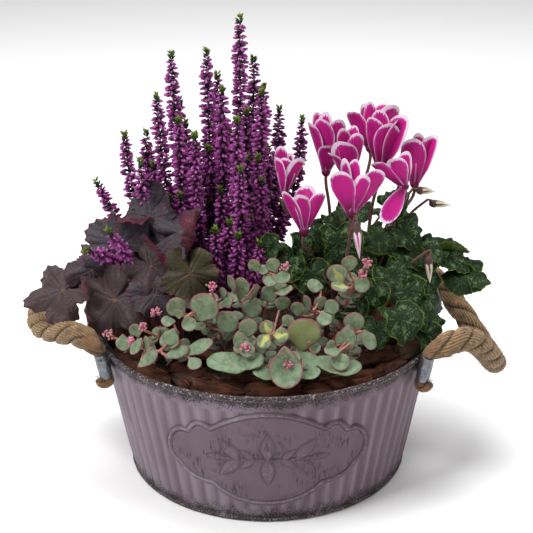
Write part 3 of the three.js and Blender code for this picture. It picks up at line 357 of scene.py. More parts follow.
def folded(leaf: Surface, towards: float, start: float, radius: float, most: float) -> Surface:
    """The leaf with the part beyond a straight line bent over.

    The excess over the radius is the angle of bend, up to the most; it turns the excess and the height
    about the line's side by its sine and cosine, and what is left of the excess goes on straight.

    Args:
        leaf: the leaf, in its own frame.
        towards: the way of the bent part from the middle, in degrees anticlockwise from the tip.
        start: how far from the middle the bend begins.
        radius: of the bend.
        most: the angle after which it goes on straight, in degrees; negative bends it under the leaf.

    Returns:
        The bent leaf.
    """
    angle = math.radians(towards)
    way = np.array([-math.sin(angle), math.cos(angle), 0.0])
    along, height, sign = leaf.points @ way, leaf.points[:, 2], math.copysign(1, most)
    over = np.maximum(along - start, 0)
    arc = np.minimum(over, radius * math.radians(abs(most)))
    bend, rest = arc / radius, over - arc
    far = (np.minimum(along, start) + radius * np.sin(bend) + rest * np.cos(bend)
           - sign * height * np.sin(bend))
    high = sign * (radius * (1 - np.cos(bend)) + rest * np.sin(bend)) + height * np.cos(bend)
    points = leaf.points + (far - along)[:, None] * way
    points[:, 2] = high
    return Surface(points, leaf.faces, leaf.paint, leaf.values)


# ---------- finishes ----------

def linear(tint: Tint) -> tuple[float, float, float, float]:
    """A colour of 0 to 255 for Blender: the screen's curve undone, with an alpha of 1."""
    c = np.asarray(tint, float) / 255
    return (*np.where(c <= 0.04045, c / 12.92, ((c + 0.055) / 1.055) ** 2.4).tolist(), 1.0)


class Signal:
    """A socket of a material's nodes that sums are written with: each sum adds a Math node."""

    def __init__(self, shader: "Shader", socket: Socket) -> None:
        """Keeps the socket and the shader that its node is in."""
        self.shader = shader
        self.socket = socket

    def __add__(self, other: "Feed") -> "Signal":
        """This plus the other."""
        return self.shader.calc("ADD", self, other)

    def __sub__(self, other: "Feed") -> "Signal":
        """This less the other."""
        return self.shader.calc("SUBTRACT", self, other)

    def __rsub__(self, other: float) -> "Signal":
        """The other less this."""
        return self.shader.calc("SUBTRACT", other, self)

    def __mul__(self, other: "Feed") -> "Signal":
        """This times the other."""
        return self.shader.calc("MULTIPLY", self, other)

    def __abs__(self) -> "Signal":
        """This without its sign."""
        return self.shader.calc("ABSOLUTE", self)


Feed = Signal | float | Tint


class Shader:
    """One material's nodes. A method that adds a node gives its output as a signal."""

    def __init__(self, name: str) -> None:
        """Starts a material with a principled shader."""
        self.material = bpy.data.materials.new(name)
        self.material.use_nodes = True
        self.tree = self.material.node_tree
        self.shell = self.tree.nodes["Principled BSDF"]
        self.place = Signal(self, self._node("ShaderNodeTexCoord").outputs["Object"])

    def _node(self, kind: str, **settings: str | bool) -> bpy.types.Node:
        """A new node with its settings."""
        made = self.tree.nodes.new(kind)
        for name, value in settings.items():
            setattr(made, name, value)
        return made

    def _put(self, socket: Socket, value: Feed) -> None:
        """Links a signal to a socket, or sets the socket's value; a colour is turned to linear."""
        if isinstance(value, Signal):
            self.tree.links.new(value.socket, socket)
        else:
            tint = isinstance(value, tuple) and socket.type == "RGBA"
            socket.default_value = linear(value) if tint else value

    def value(self, name: str) -> Signal:
        """A named value of the mesh."""
        return Signal(self, self._node("ShaderNodeAttribute", attribute_name=name).outputs["Fac"])

    def stretched(self, x: float, y: float, z: float) -> Signal:
        """Object coordinates times a scale each way."""
        mapping = self._node("ShaderNodeMapping")
        self._put(mapping.inputs["Vector"], self.place)
        mapping.inputs["Scale"].default_value = (x, y, z)
        return Signal(self, mapping.outputs["Vector"])

    def vector(self, x: Feed, y: Feed, z: Feed = 0.0) -> Signal:
        """Three numbers as a vector."""
        made = self._node("ShaderNodeCombineXYZ")
        for socket, value in zip(made.inputs, (x, y, z)):
            self._put(socket, value)
        return Signal(self, made.outputs[0])

    def axis(self, name: str) -> Signal:
        """One of the object coordinates."""
        made = self._node("ShaderNodeSeparateXYZ")
        self._put(made.inputs[0], self.place)
        return Signal(self, made.outputs[name])

    def noise(self, scale: float, detail: float = 4, rough: float = 0.55, at: Feed | None = None) -> Signal:
        """Cloudy noise of 0 to 1."""
        made = self._node("ShaderNodeTexNoise")
        self._put(made.inputs["Vector"], self.place if at is None else at)
        for name, number in (("Scale", scale), ("Detail", detail), ("Roughness", rough)):
            made.inputs[name].default_value = number
        return Signal(self, made.outputs[0])

    def cells(self, scale: float, at: Feed | None = None, feature: str = "F1") -> Signal:
        """The distance to the nearest of scattered points, or to the border between them."""
        made = self._node("ShaderNodeTexVoronoi", feature=feature)
        self._put(made.inputs["Vector"], self.place if at is None else at)
        made.inputs["Scale"].default_value = scale
        return Signal(self, made.outputs["Distance"])

    def band(self, value: Feed, low: float, high: float, first: float = 0.0, last: float = 1.0) -> Signal:
        """A soft step of a value from first at low to last at high."""
        made = self._node("ShaderNodeMapRange", interpolation_type="SMOOTHSTEP")
        if low > high:
            low, high, first, last = high, low, last, first
        for name, number in (("Value", value), ("From Min", low), ("From Max", high), ("To Min", first),
                             ("To Max", last)):
            self._put(made.inputs[name], number)
        return Signal(self, made.outputs["Result"])

    def calc(self, operation: str, a: Feed, b: Feed = 0.5) -> Signal:
        """A sum on one or two numbers."""
        made = self._node("ShaderNodeMath", operation=operation)
        self._put(made.inputs[0], a)
        self._put(made.inputs[1], b)
        return Signal(self, made.outputs[0])

    def most(self, a: Feed, b: Feed) -> Signal:
        """The larger of two numbers."""
        return self.calc("MAXIMUM", a, b)

    def mix(self, share: Feed, a: Feed, b: Feed, way: str = "MIX") -> Signal:
        """Two colours mixed by a share."""
        made = self._node("ShaderNodeMix", data_type="RGBA", blend_type=way)
        for socket, value in ((made.inputs[0], share), (made.inputs[6], a), (made.inputs[7], b)):
            self._put(socket, value)
        return Signal(self, made.outputs[2])

    def bump(self, height: Feed, depth: float, strength: float = 1.0, under: Feed | None = None) -> Signal:
        """Small relief: a height of 0 to 1 times a depth in millimetres."""
        made = self._node("ShaderNodeBump")
        self._put(made.inputs["Height"], height)
        made.inputs["Distance"].default_value = depth * MM
        made.inputs["Strength"].default_value = strength
        if under is not None:
            self._put(made.inputs["Normal"], under)
        return Signal(self, made.outputs[0])

    def done(self, colour: Feed, roughness: Feed, normal: Feed | None = None, **fixed: float) -> Material:
        """The finished material; fixed values go straight onto the shader's sockets."""
        self._put(self.shell.inputs["Base Color"], colour)
        self._put(self.shell.inputs["Roughness"], roughness)
        if normal is not None:
            self._put(self.shell.inputs["Normal"], normal)
        for name, number in fixed.items():
            self.shell.inputs[name.replace("_", " ")].default_value = number
        return self.material


@dataclass(frozen=True)
class WornPaint:
    """Chalky mauve paint on the tub, rubbed dark at the rim and the foot and darker along the label's
    creases, with painted light: its left side and the flutes' crests lighter, its right side and the flutes'
    hollows darker.
    """

    mauve: Tint = (102, 83, 94)
    lilac: Tint = (127, 115, 127)
    plum: Tint = (86, 65, 76)
    worn: Tint = (38, 27, 25)
    fleck: Tint = (196, 180, 182)

    def material(self) -> Material:
        """Builds the material."""
        s = Shader("painted_metal")
        cloud = s.noise(9, 3)
        streak = s.noise(60, 4, at=s.stretched(1, 1, 0.12))
        grain = s.noise(900, 3, 0.7)
        # Painted light and shade: lilac and mauve on the left, mauve and plum on the right.
        painted_light_sweep = s.band(s.axis("X"), -0.12, 0.13)
        colour = s.mix(painted_light_sweep, s.mix(s.band(cloud, 0.35, 0.65), self.lilac, self.mauve),
                       s.mix(s.band(cloud, 0.3, 0.7), self.mauve, self.plum))
        colour = s.mix(s.band(streak, 0.42, 0.75, 0, 0.4), colour, self.lilac)
        colour = s.mix(s.band(streak, 0.5, 0.25, 0, 0.45), colour, self.plum)
        # Painted highlight on the flutes' crests and painted shade in their hollows.
        colour = s.mix(s.band(s.value("flute"), 0.15, 1.0, 0, 0.45), colour, self.lilac)
        colour = s.mix(s.band(s.value("flute"), -0.1, -0.95, 0, 0.55), colour, self.plum)
        colour = s.mix(s.value("field") * 0.7, colour, self.plum)
        height = s.axis("Z")
        rim = s.band(height, 0.1, 0.1215)
        foot = s.band(height, 0.028, 0.002)
        edge = s.most(rim, foot * 0.93)
        speckle = s.noise(950, 4, 0.75) * 0.72 + s.noise(90, 3) * 0.28
        rubbed = s.band(speckle - (0.71 - edge * 0.29), -0.01, 0.03)
        bare = rubbed * s.band(edge, 0.02, 0.12)
        scratch = s.noise(560, 4, 0.75, at=s.stretched(1, 1, 0.07))
        patch = s.band(s.noise(42, 3), 0.42, 0.56)
        scratched = s.band(scratch, 0.51, 0.58) * patch * s.value("field")
        # Darker along the label's creases and round the sprig's leaves.
        crease = s.value("crease") * s.band(s.noise(140, 4), 0.25, 0.55, 0.5, 1.0)
        dots = s.band(s.noise(1100, 2, 0.6), 0.71, 0.75) * 0.6
        dark = s.most(s.most(bare, scratched * 0.7), s.most(crease, dots))
        colour = s.mix(dark, colour, self.worn)
        lip = s.most(s.band(height, 0.1185, 0.1205), s.band(height, 0.005, 0.0025))
        flecks = s.band(s.noise(520, 5, 0.8), 0.55, 0.61) * lip
        ridge = s.value("ridge") * s.band(s.noise(300, 4, 0.7), 0.52, 0.64, 0, 0.3)
        colour = s.mix(s.most(flecks * 0.75, ridge), colour, self.fleck)
        rough = grain * 0.16 + dark * 0.12 + 0.5
        relief = s.bump(grain * 0.4 - dark, 0.22, 0.7)
        return s.done(colour, rough, s.bump(streak, 0.25, 0.5, relief), Metallic=0.12)


@dataclass(frozen=True)
class Galvanised:
    """Bare zinc-coated steel with spangles, drawn scratches and a little dirt."""

    dull: Tint = (84, 86, 90)
    bright: Tint = (158, 161, 166)
    dirt: Tint = (44, 38, 34)

    def material(self) -> Material:
        """Builds the material."""
        s = Shader("galvanised_metal")
        spangle = s.cells(420)
        scratch = s.noise(900, 3, at=s.stretched(1, 1, 0.08))
        dirt = s.band(s.noise(190, 5, 0.7), 0.55, 0.75, 0, 0.8)
        colour = s.mix(spangle * scratch, self.dull, self.bright)
        colour = s.mix(dirt, colour, self.dirt)
        rough = scratch * 0.3 + dirt * 0.4
        return s.done(colour, rough + 0.18, s.bump(scratch, 0.08), Metallic=0.85)


@dataclass(frozen=True)
class Jute:
    """Hairy brown jute: fibres along each yarn, straw-coloured crests, and painted shade that darkens the
    creases between strands and yarns.
    """

    dark: Tint = (56, 38, 22)
    mid: Tint = (120, 90, 56)
    light: Tint = (178, 146, 102)
    rust: Tint = (118, 74, 38)

    def material(self) -> Material:
        """Builds the material."""
        s = Shader("jute_rope")
        fibre_place = s.vector(s.value("around") * 2.4, s.value("along") * 0.22)
        fibre = s.noise(1.0, 5, 0.65, at=fibre_place)
        fine = s.noise(1500, 3, 0.7)
        colour = s.mix(s.band(fibre, 0.34, 0.68), self.mid, self.light)
        colour = s.mix(s.band(s.noise(34, 3), 0.42, 0.66, 0, 0.55), colour, self.mid)
        colour = s.mix(s.band(s.noise(110, 4, 0.65), 0.5, 0.34, 0, 0.6), colour, self.dark)
        colour = s.mix(s.band(s.value("tone"), 0.35, 0.1, 0, 0.55), colour, self.rust)
        colour = s.mix(s.band(fine, 0.5, 0.28, 0, 0.8), colour, self.dark)
        colour = s.mix(s.band(fibre, 0.48, 0.31, 0, 0.85), colour, self.dark)
        # Painted shade: dark where crest is low, in the creases between strands and between yarns.
        colour = s.mix(s.band(s.value("crest"), 0.74, 0.38, 0, 0.8), colour, self.dark)
        height = fibre + fine * 0.4
        return s.done(colour, s.band(fibre, 0.2, 0.8, 0.97, 0.85), s.bump(height, 0.6), Sheen_Weight=0.2)


@dataclass(frozen=True)
class LinerFilm:
    """Thin black plastic film with soft crinkles."""

    black: Tint = (20, 20, 22)
    dust: Tint = (70, 62, 56)

    def material(self) -> Material:
        """Builds the material."""
        s = Shader("liner_plastic")
        crinkle = s.noise(90, 4, 0.6)
        colour = s.mix(s.band(s.noise(240, 4, 0.7), 0.5, 0.8, 0, 0.6), self.black, self.dust)
        return s.done(colour, s.band(crinkle, 0.2, 0.8, 0.3, 0.6), s.bump(crinkle, 0.6))


@dataclass(frozen=True)
class Earth:
    """Damp crumbly potting soil."""

    damp: Tint = (30, 21, 16)
    dry: Tint = (72, 54, 40)

    def material(self) -> Material:
        """Builds the material."""
        s = Shader("potting_soil")
        crumb = s.cells(260)
        grain = s.noise(500, 5, 0.7)
        colour = s.mix(s.band(crumb * grain, 0.1, 0.5), self.damp, self.dry)
        return s.done(colour, 0.95, s.bump(grain - crumb, 1.4))


@dataclass(frozen=True)
class BarkGrain:
    """Red-brown bark, split along its grain, each chip of its own tone."""

    deep: Tint = (36, 20, 14)
    red: Tint = (98, 56, 36)
    tan: Tint = (158, 94, 58)
    grey: Tint = (84, 70, 60)

    def material(self) -> Material:
        """Builds the material."""
        s = Shader("bark")
        tone = s.value("tone")
        place = s.vector(s.value("across") * 1.1, s.value("along") * 0.1, tone * 40.0)
        fibre = s.noise(1.0, 6, 0.68, at=place)
        blotch = s.noise(60, 3)
        colour = s.mix(s.band(fibre, 0.32, 0.68), self.deep, self.red)
        colour = s.mix(s.band(fibre + tone * 0.3, 0.72, 0.95, 0, 0.75), colour, self.tan)
        colour = s.mix(s.band(tone, 0.86, 0.92, 0, 0.7), colour, self.grey)
        colour = s.mix(s.band(blotch, 0.55, 0.3, 0, 0.7), colour, self.deep)
        return s.done(colour, s.band(fibre, 0.2, 0.8, 0.95, 0.7), s.bump(fibre, 1.3),
                      Specular_IOR_Level=0.2)


@dataclass(frozen=True)
class Floret:
    """Heather florets: dark at the stem, magenta, paler at the mouth, some nearly white."""

    dark: Tint = (50, 14, 46)
    pink: Tint = (136, 40, 122)
    pale: Tint = (186, 108, 172)

    def material(self) -> Material:
        """Builds the material."""
        s = Shader("heather_floret")
        along, tone = s.value("along"), s.value("tone")
        colour = s.mix(s.band(along, 0.0, 0.6), self.dark, self.pink)
        colour = s.mix(s.band(along, 0.35, 1.0) * s.band(tone, 0.3, 1.0, 0.15, 0.85), colour, self.pale)
        colour = s.mix(s.band(tone, 0.3, 0.0, 0, 0.55), colour, self.dark)
        colour = s.mix(s.band(s.noise(500, 3), 0.55, 0.8, 0, 0.3), colour, self.pale)
        return s.done(colour, 0.6, s.bump(s.noise(900, 2), 0.1), Sheen_Weight=0.1, Specular_IOR_Level=0.25)


@dataclass(frozen=True)
class HeatherGreen:
    """Scale leaves and stems: dark green and brown below, yellow-green at the fresh tips."""

    stem: Tint = (30, 22, 18)
    leaf: Tint = (28, 36, 18)
    fresh: Tint = (92, 112, 34)

    def material(self) -> Material:
        """Builds the material."""
        s = Shader("heather")
        tone = s.value("tone")
        colour = s.mix(s.noise(300, 3), self.stem, self.leaf)
        colour = s.mix(s.band(tone, 0.4, 1.0), colour, self.fresh)
        return s.done(colour, s.band(tone, 0.0, 1.0, 0.75, 0.55), s.bump(s.noise(1200, 2), 0.12),
                      Specular_IOR_Level=0.25)


@dataclass(frozen=True)
class HeucheraSkin:
    """A purple-leaved heuchera: slate over plum with darker veins, and wine-red under and at the edge."""

    slate: Tint = (58, 54, 64)
    plum: Tint = (58, 42, 44)
    vein: Tint = (38, 24, 28)
    wine: Tint = (76, 14, 36)
    olive: Tint = (60, 55, 30)

    def material(self, under: bool) -> Material:
        """Builds the material of the face, or of the underside."""
        s = Shader("heuchera_under" if under else "heuchera")
        place = s.vector(s.value("u"), s.value("v"), s.value("tone") * 30.0)
        quilt = s.noise(0.16, 4, 0.6, at=place)
        cell = s.cells(0.34, at=place, feature="DISTANCE_TO_EDGE")
        vein = s.value("vein")
        if under:
            colour = s.mix(s.band(quilt, 0.3, 0.7), self.wine, (50, 14, 28))
            colour = s.mix(vein * 0.4, colour, (104, 40, 56))
        else:
            colour = s.mix(s.band(quilt, 0.36, 0.62), self.plum, self.slate)
            brown = s.band(s.value("tone"), 0.48, 0.4) * 0.6
            colour = s.mix(brown, colour, (66, 50, 48))
            colour = s.mix(s.band(s.value("tone"), 0.9, 0.95, 0, 0.85), colour, self.olive)
            colour = s.mix(s.band(cell, 0.1, 0.0, 0, 0.15), colour, self.vein)
            colour = s.mix(vein * 0.28, colour, self.vein)
            colour = s.mix(s.band(s.value("rim"), 0.93, 1.0, 0, 0.8), colour, self.wine)
            colour = s.mix(s.band(s.value("rim"), 0.11, 0.0, 0, 0.55), colour, (118, 88, 54))
        height = s.band(cell, 0.0, 0.3) + vein * -0.7
        return s.done(colour, s.band(quilt, 0.2, 0.8, 0.45, 0.6), s.bump(height, 0.3, 0.7),
                      Sheen_Weight=0.04, Specular_IOR_Level=0.2)


@dataclass(frozen=True)
class SedumSkin:
    """Fleshy grey-green with a bloom, pink at the edge, deep green where the leaf's shade is low, partly its
    own tone and partly painted shade; some leaves have a cream stripe.
    """

    green: Tint = (86, 104, 76)
    pale: Tint = (116, 134, 106)
    deep: Tint = (38, 50, 32)
    pink: Tint = (128, 62, 80)
    cream: Tint = (184, 178, 100)
    brown: Tint = (128, 134, 78)

    def material(self) -> Material:
        """Builds the material."""
        s = Shader("sedum")
        tone, rim, stripe = s.value("tone"), s.value("rim"), s.value("stripe")
        place = s.vector(s.value("u"), s.value("v"), tone * 50.0)
        cloud = s.noise(0.22, 3, at=place)
        colour = s.mix(s.band(cloud, 0.3, 0.7), self.green, self.pale)
        # Deep green where the tone is low: partly the leaf's own tone, partly painted shade on leaves inside
        # the plant.
        colour = s.mix(s.band(tone, 0.45, 0.0, 0, 0.85), colour, self.deep)
        freckled = s.band(stripe, 1.1, 1.4)
        colour = s.mix(freckled * 0.65, colour, self.brown)
        half = abs(s.value("u") + (cloud - 0.5) * 6.0)
        taper = s.band(s.value("v"), 6.0, -5.0, 0.5, 2.6)
        lit = s.band(half - taper, 1.0, -0.6) * s.band(stripe, 0.1, 1.0) * s.band(stripe, 1.4, 1.1)
        colour = s.mix(lit * s.band(rim, 0.95, 0.6), colour, self.cream)
        pink = rim + (s.noise(0.7, 3, at=place) - 0.5) * 0.16
        edge = s.band(pink, 0.86, 0.98, 0, 0.9) * s.band(stripe, -0.3, -0.1)
        colour = s.mix(edge, colour, self.pink)
        fleck = s.noise(2.2, 2, at=place) + freckled * 0.1
        specks = s.band(fleck, 0.66, 0.74, 0, 0.5)
        colour = s.mix(specks, colour, self.deep)
        return s.done(colour, s.band(cloud, 0.2, 0.8, 0.4, 0.6), s.bump(s.noise(1.3, 3, at=place), 0.18),
                      Subsurface_Weight=0.08, Sheen_Weight=0.06, Specular_IOR_Level=0.25)


@dataclass(frozen=True)
class PlainFlesh:
    """Stems and buds: two tones in soft streaks, lightened or darkened by the mesh's tone."""

    name: str
    base: Tint
    light: Tint
    dark: Tint
    rough: float = 0.55

    def material(self) -> Material:
        """Builds the material."""
        s = Shader(self.name)
        streak = s.noise(330, 4, at=s.stretched(1, 1, 0.3))
        colour = s.mix(s.band(streak, 0.35, 0.65), self.base, self.light)
        colour = s.mix(s.band(s.value("tone"), 0.5, 0.0, 0, 0.9), colour, self.dark)
        return s.done(colour, self.rough, s.bump(s.noise(1500, 2), 0.1), Sheen_Weight=0.1)


@dataclass(frozen=True)
class PetalSkin:
    """Cyclamen petals: wine at the foot, hot magenta, and a streaked white margin, widest at the tip."""

    wine: Tint = (92, 4, 54)
    magenta: Tint = (176, 12, 118)
    rose: Tint = (190, 66, 152)
    white: Tint = (214, 194, 210)

    def material(self) -> Material:
        """Builds the material."""
        s = Shader("cyclamen_petal")
        share, tone = s.value("share"), s.value("tone")
        streak = s.noise(1.0, 4, 0.6, at=s.vector(s.value("u") * 1.1, s.value("v") * 0.1, tone * 20.0))
        colour = s.mix(s.band(share, 0.0, 0.5), self.wine, self.magenta)
        colour = s.mix(s.band(streak, 0.52, 0.3, 0, 0.45), colour, self.wine)
        tip = s.band(share, 0.8, 1.0) * s.band(tone, 0.0, 1.0, 0.8, 3.8)
        width = s.band(share, 0.15, 0.8, 0.25, 0.85) + tip
        one_side = s.band(tone, 0.6, 0.7) * s.band(s.value("u"), 1.0, 6.0, 0.0, 3.0)
        width = width + one_side * s.band(share, 0.3, 0.7)
        ragged = (streak - 0.5) * s.band(share, 0.3, 0.95, 1.2, 6.5)
        inside = s.value("edge") + ragged - width
        colour = s.mix(s.band(inside, 2.2, 0.0, 0, 0.7), colour, self.rose)
        colour = s.mix(s.band(inside, 0.5, -0.5), colour, self.white)
        return s.done(colour, s.band(streak, 0.3, 0.7, 0.45, 0.6), s.bump(streak, 0.22),
                      Subsurface_Weight=0.06, Sheen_Weight=0.06, Specular_IOR_Level=0.2)


@dataclass(frozen=True)
class MarbledLeaf:
    """Cyclamen leaves: deep green with silver marbling between the veins and a lime edge; olive under."""

    deep: Tint = (13, 25, 11)
    green: Tint = (30, 54, 20)
    silver: Tint = (112, 142, 92)
    lime: Tint = (98, 120, 36)
    olive: Tint = (66, 82, 28)

    def material(self, under: bool) -> Material:
        """Builds the material of the face, or of the underside."""
        s = Shader("cyclamen_leaf_under" if under else "cyclamen_leaf")
        tone, rim, vein = s.value("tone"), s.value("rim"), s.value("vein")
        place = s.vector(s.value("u"), s.value("v"), tone * 60.0)
        cloud = s.noise(0.2, 4, 0.65, at=place)
        fine = s.noise(0.8, 4, 0.7, at=place)
        if under:
            colour = s.mix(s.band(cloud, 0.3, 0.7), self.olive, (48, 62, 24))
            colour = s.mix(vein * 0.5, colour, self.lime)
        else:
            colour = s.mix(s.band(fine, 0.35, 0.65), self.deep, self.green)
            ring = s.band(rim, 0.2, 0.5) * s.band(rim, 0.86, 0.62)
            marble = ring * s.band(cloud + fine * 0.5, 0.76, 0.9)
            colour = s.mix(marble * 0.5, colour, self.silver)
            streak = vein * s.band(rim, 0.12, 0.3) * s.band(fine, 0.42, 0.62)
            colour = s.mix(streak * 0.5, colour, self.silver)
        edge = rim + (fine - 0.5) * 0.1
        colour = s.mix(s.band(edge, 0.93, 1.0, 0, 0.85), colour, self.lime)
        height = s.band(fine, 0.2, 0.8) + vein * -0.9
        return s.done(colour, s.band(fine, 0.2, 0.8, 0.3, 0.46), s.bump(height, 0.45, 0.8),
                      Specular_IOR_Level=0.14)


# ---------- camera, light and floor ----------

@dataclass
class Studio:
    """The camera at the photograph's angle, soft lights, a pale world and a pale floor."""

    place: tuple[float, float, float] = (0.0, -0.99559, 0.57886)
    pitch: float = 0.388446          # down from level, radians
    yaw: float = 0.000119
    roll: float = -0.0078277
    focal: float = 1300.0            # in pixels of the image
    image: float = 533.0
    sensor: float = 36.0
    pale: Tint = (246, 246, 246)
    aim: Point = (0.0, 0.0, 0.16)    # what the lamps look at
    world_light: float = 0.33
    floor_reach: float = 30.0

    def camera(self) -> None:
        """Looks along the pitch and yaw; the focal length is a share of the image's width."""
        forward = Vector((math.sin(self.yaw) * math.cos(self.pitch),
                          math.cos(self.yaw) * math.cos(self.pitch),
                          -math.sin(self.pitch)))
        level = Vector((math.cos(self.yaw), -math.sin(self.yaw), 0.0))
        above = level.cross(forward)
        right = math.cos(self.roll) * level + math.sin(self.roll) * above
        up = -math.sin(self.roll) * level + math.cos(self.roll) * above
        data = bpy.data.cameras.new("camera")
        data.sensor_fit, data.sensor_width = "HORIZONTAL", self.sensor
        data.lens = self.focal / self.image * self.sensor
        data.clip_start, data.clip_end = 0.01, 50.0
        camera = bpy.data.objects.new("camera", data)
        turn = Matrix((right, up, -forward)).transposed().to_4x4()
        camera.matrix_world = Matrix.Translation(Vector(self.place)) @ turn
        bpy.context.scene.collection.objects.link(camera)
        bpy.context.scene.camera = camera

    def _softbox(self, name: str, place: Point, size: float, power: float) -> None:
        """A square light that looks at the middle of the planter."""
        data = bpy.data.lights.new(name, "AREA")
        data.size, data.energy = size, power
        lamp = bpy.data.objects.new(name, data)
        turn = (Vector(self.aim) - Vector(place)).to_track_quat("-Z", "Y").to_matrix().to_4x4()
        lamp.matrix_world = Matrix.Translation(Vector(place)) @ turn
        bpy.context.scene.collection.objects.link(lamp)

    def dress(self) -> None:
        """Adds lights, world and floor, and shows colours as they are mixed."""
        scene = bpy.context.scene
        scene.view_settings.view_transform = "Standard"
        world = bpy.data.worlds.new("studio")
        world.use_nodes = True
        world.node_tree.nodes["Background"].inputs[0].default_value = linear((255, 255, 255))
        world.node_tree.nodes["Background"].inputs[1].default_value = self.world_light
        scene.world = world
        self._softbox("key", (-1.2, -0.8, 1.9), 1.0, 44.0)
        self._softbox("top", (0.2, 0.4, 2.1), 1.6, 44.0)
        self._softbox("fill", (1.5, -1.1, 0.9), 1.2, 5.0)
        mesh = bpy.data.meshes.new("floor")
        reach = self.floor_reach
        mesh.from_pydata([(-reach, -reach, 0), (reach, -reach, 0), (reach, reach, 0), (-reach, reach, 0)],
                         [], [(0, 1, 2, 3)])
        floor = bpy.data.objects.new("floor", mesh)
        s = Shader("floor")
        mesh.materials.append(s.done(s.mix(s.noise(2.0, 2), self.pale, (250, 250, 250)), 0.9))
        scene.collection.objects.link(floor)


# ---------- rope handles ----------

class Side(Enum):
    """The two sides of the tub that have a handle."""

    RIGHT = "right"
    LEFT = "left"


# The routes of the ropes from the front sleeve to the back one, through the middle of the rope.
ROPE_ROUTES: dict[Side, tuple[Point, ...]] = {
    Side.RIGHT: (
        (131, -84.5, 134.5), (140, -84.5, 139), (151, -77, 140), (164, -64, 132), (176, -47, 116),
        (182.5, -37.5, 106), (187, -27, 97), (191, -16, 90), (193, -5, 85), (192.5, 4, 84.5), (190, 13, 86),
        (183, 28, 94), (174, 43, 105), (163, 55, 118), (152, 64, 129), (142.5, 70, 136), (135, 71.5, 137.5),
    ),
    Side.LEFT: (
        (-136, -73.5, 135.5), (-142.5, -69.5, 139.5), (-147.5, -65, 140), (-153, -59, 139),
        (-167, -47, 135), (-181, -30, 130), (-186.5, -20, 129), (-190, -9, 128), (-191.7, 1.5, 127),
        (-192, 12, 127), (-190.5, 22, 126.3), (-187, 32, 126), (-175, 50, 128), (-161, 63, 132),
        (-147, 73, 137), (-138, 78, 139.5), (-131, 79.5, 137),
    ),
}
SLEEVE_ANGLES: dict[Side, tuple[float, float]] = {Side.RIGHT: (-32.5, 28.0), Side.LEFT: (208.0, 148.0)}


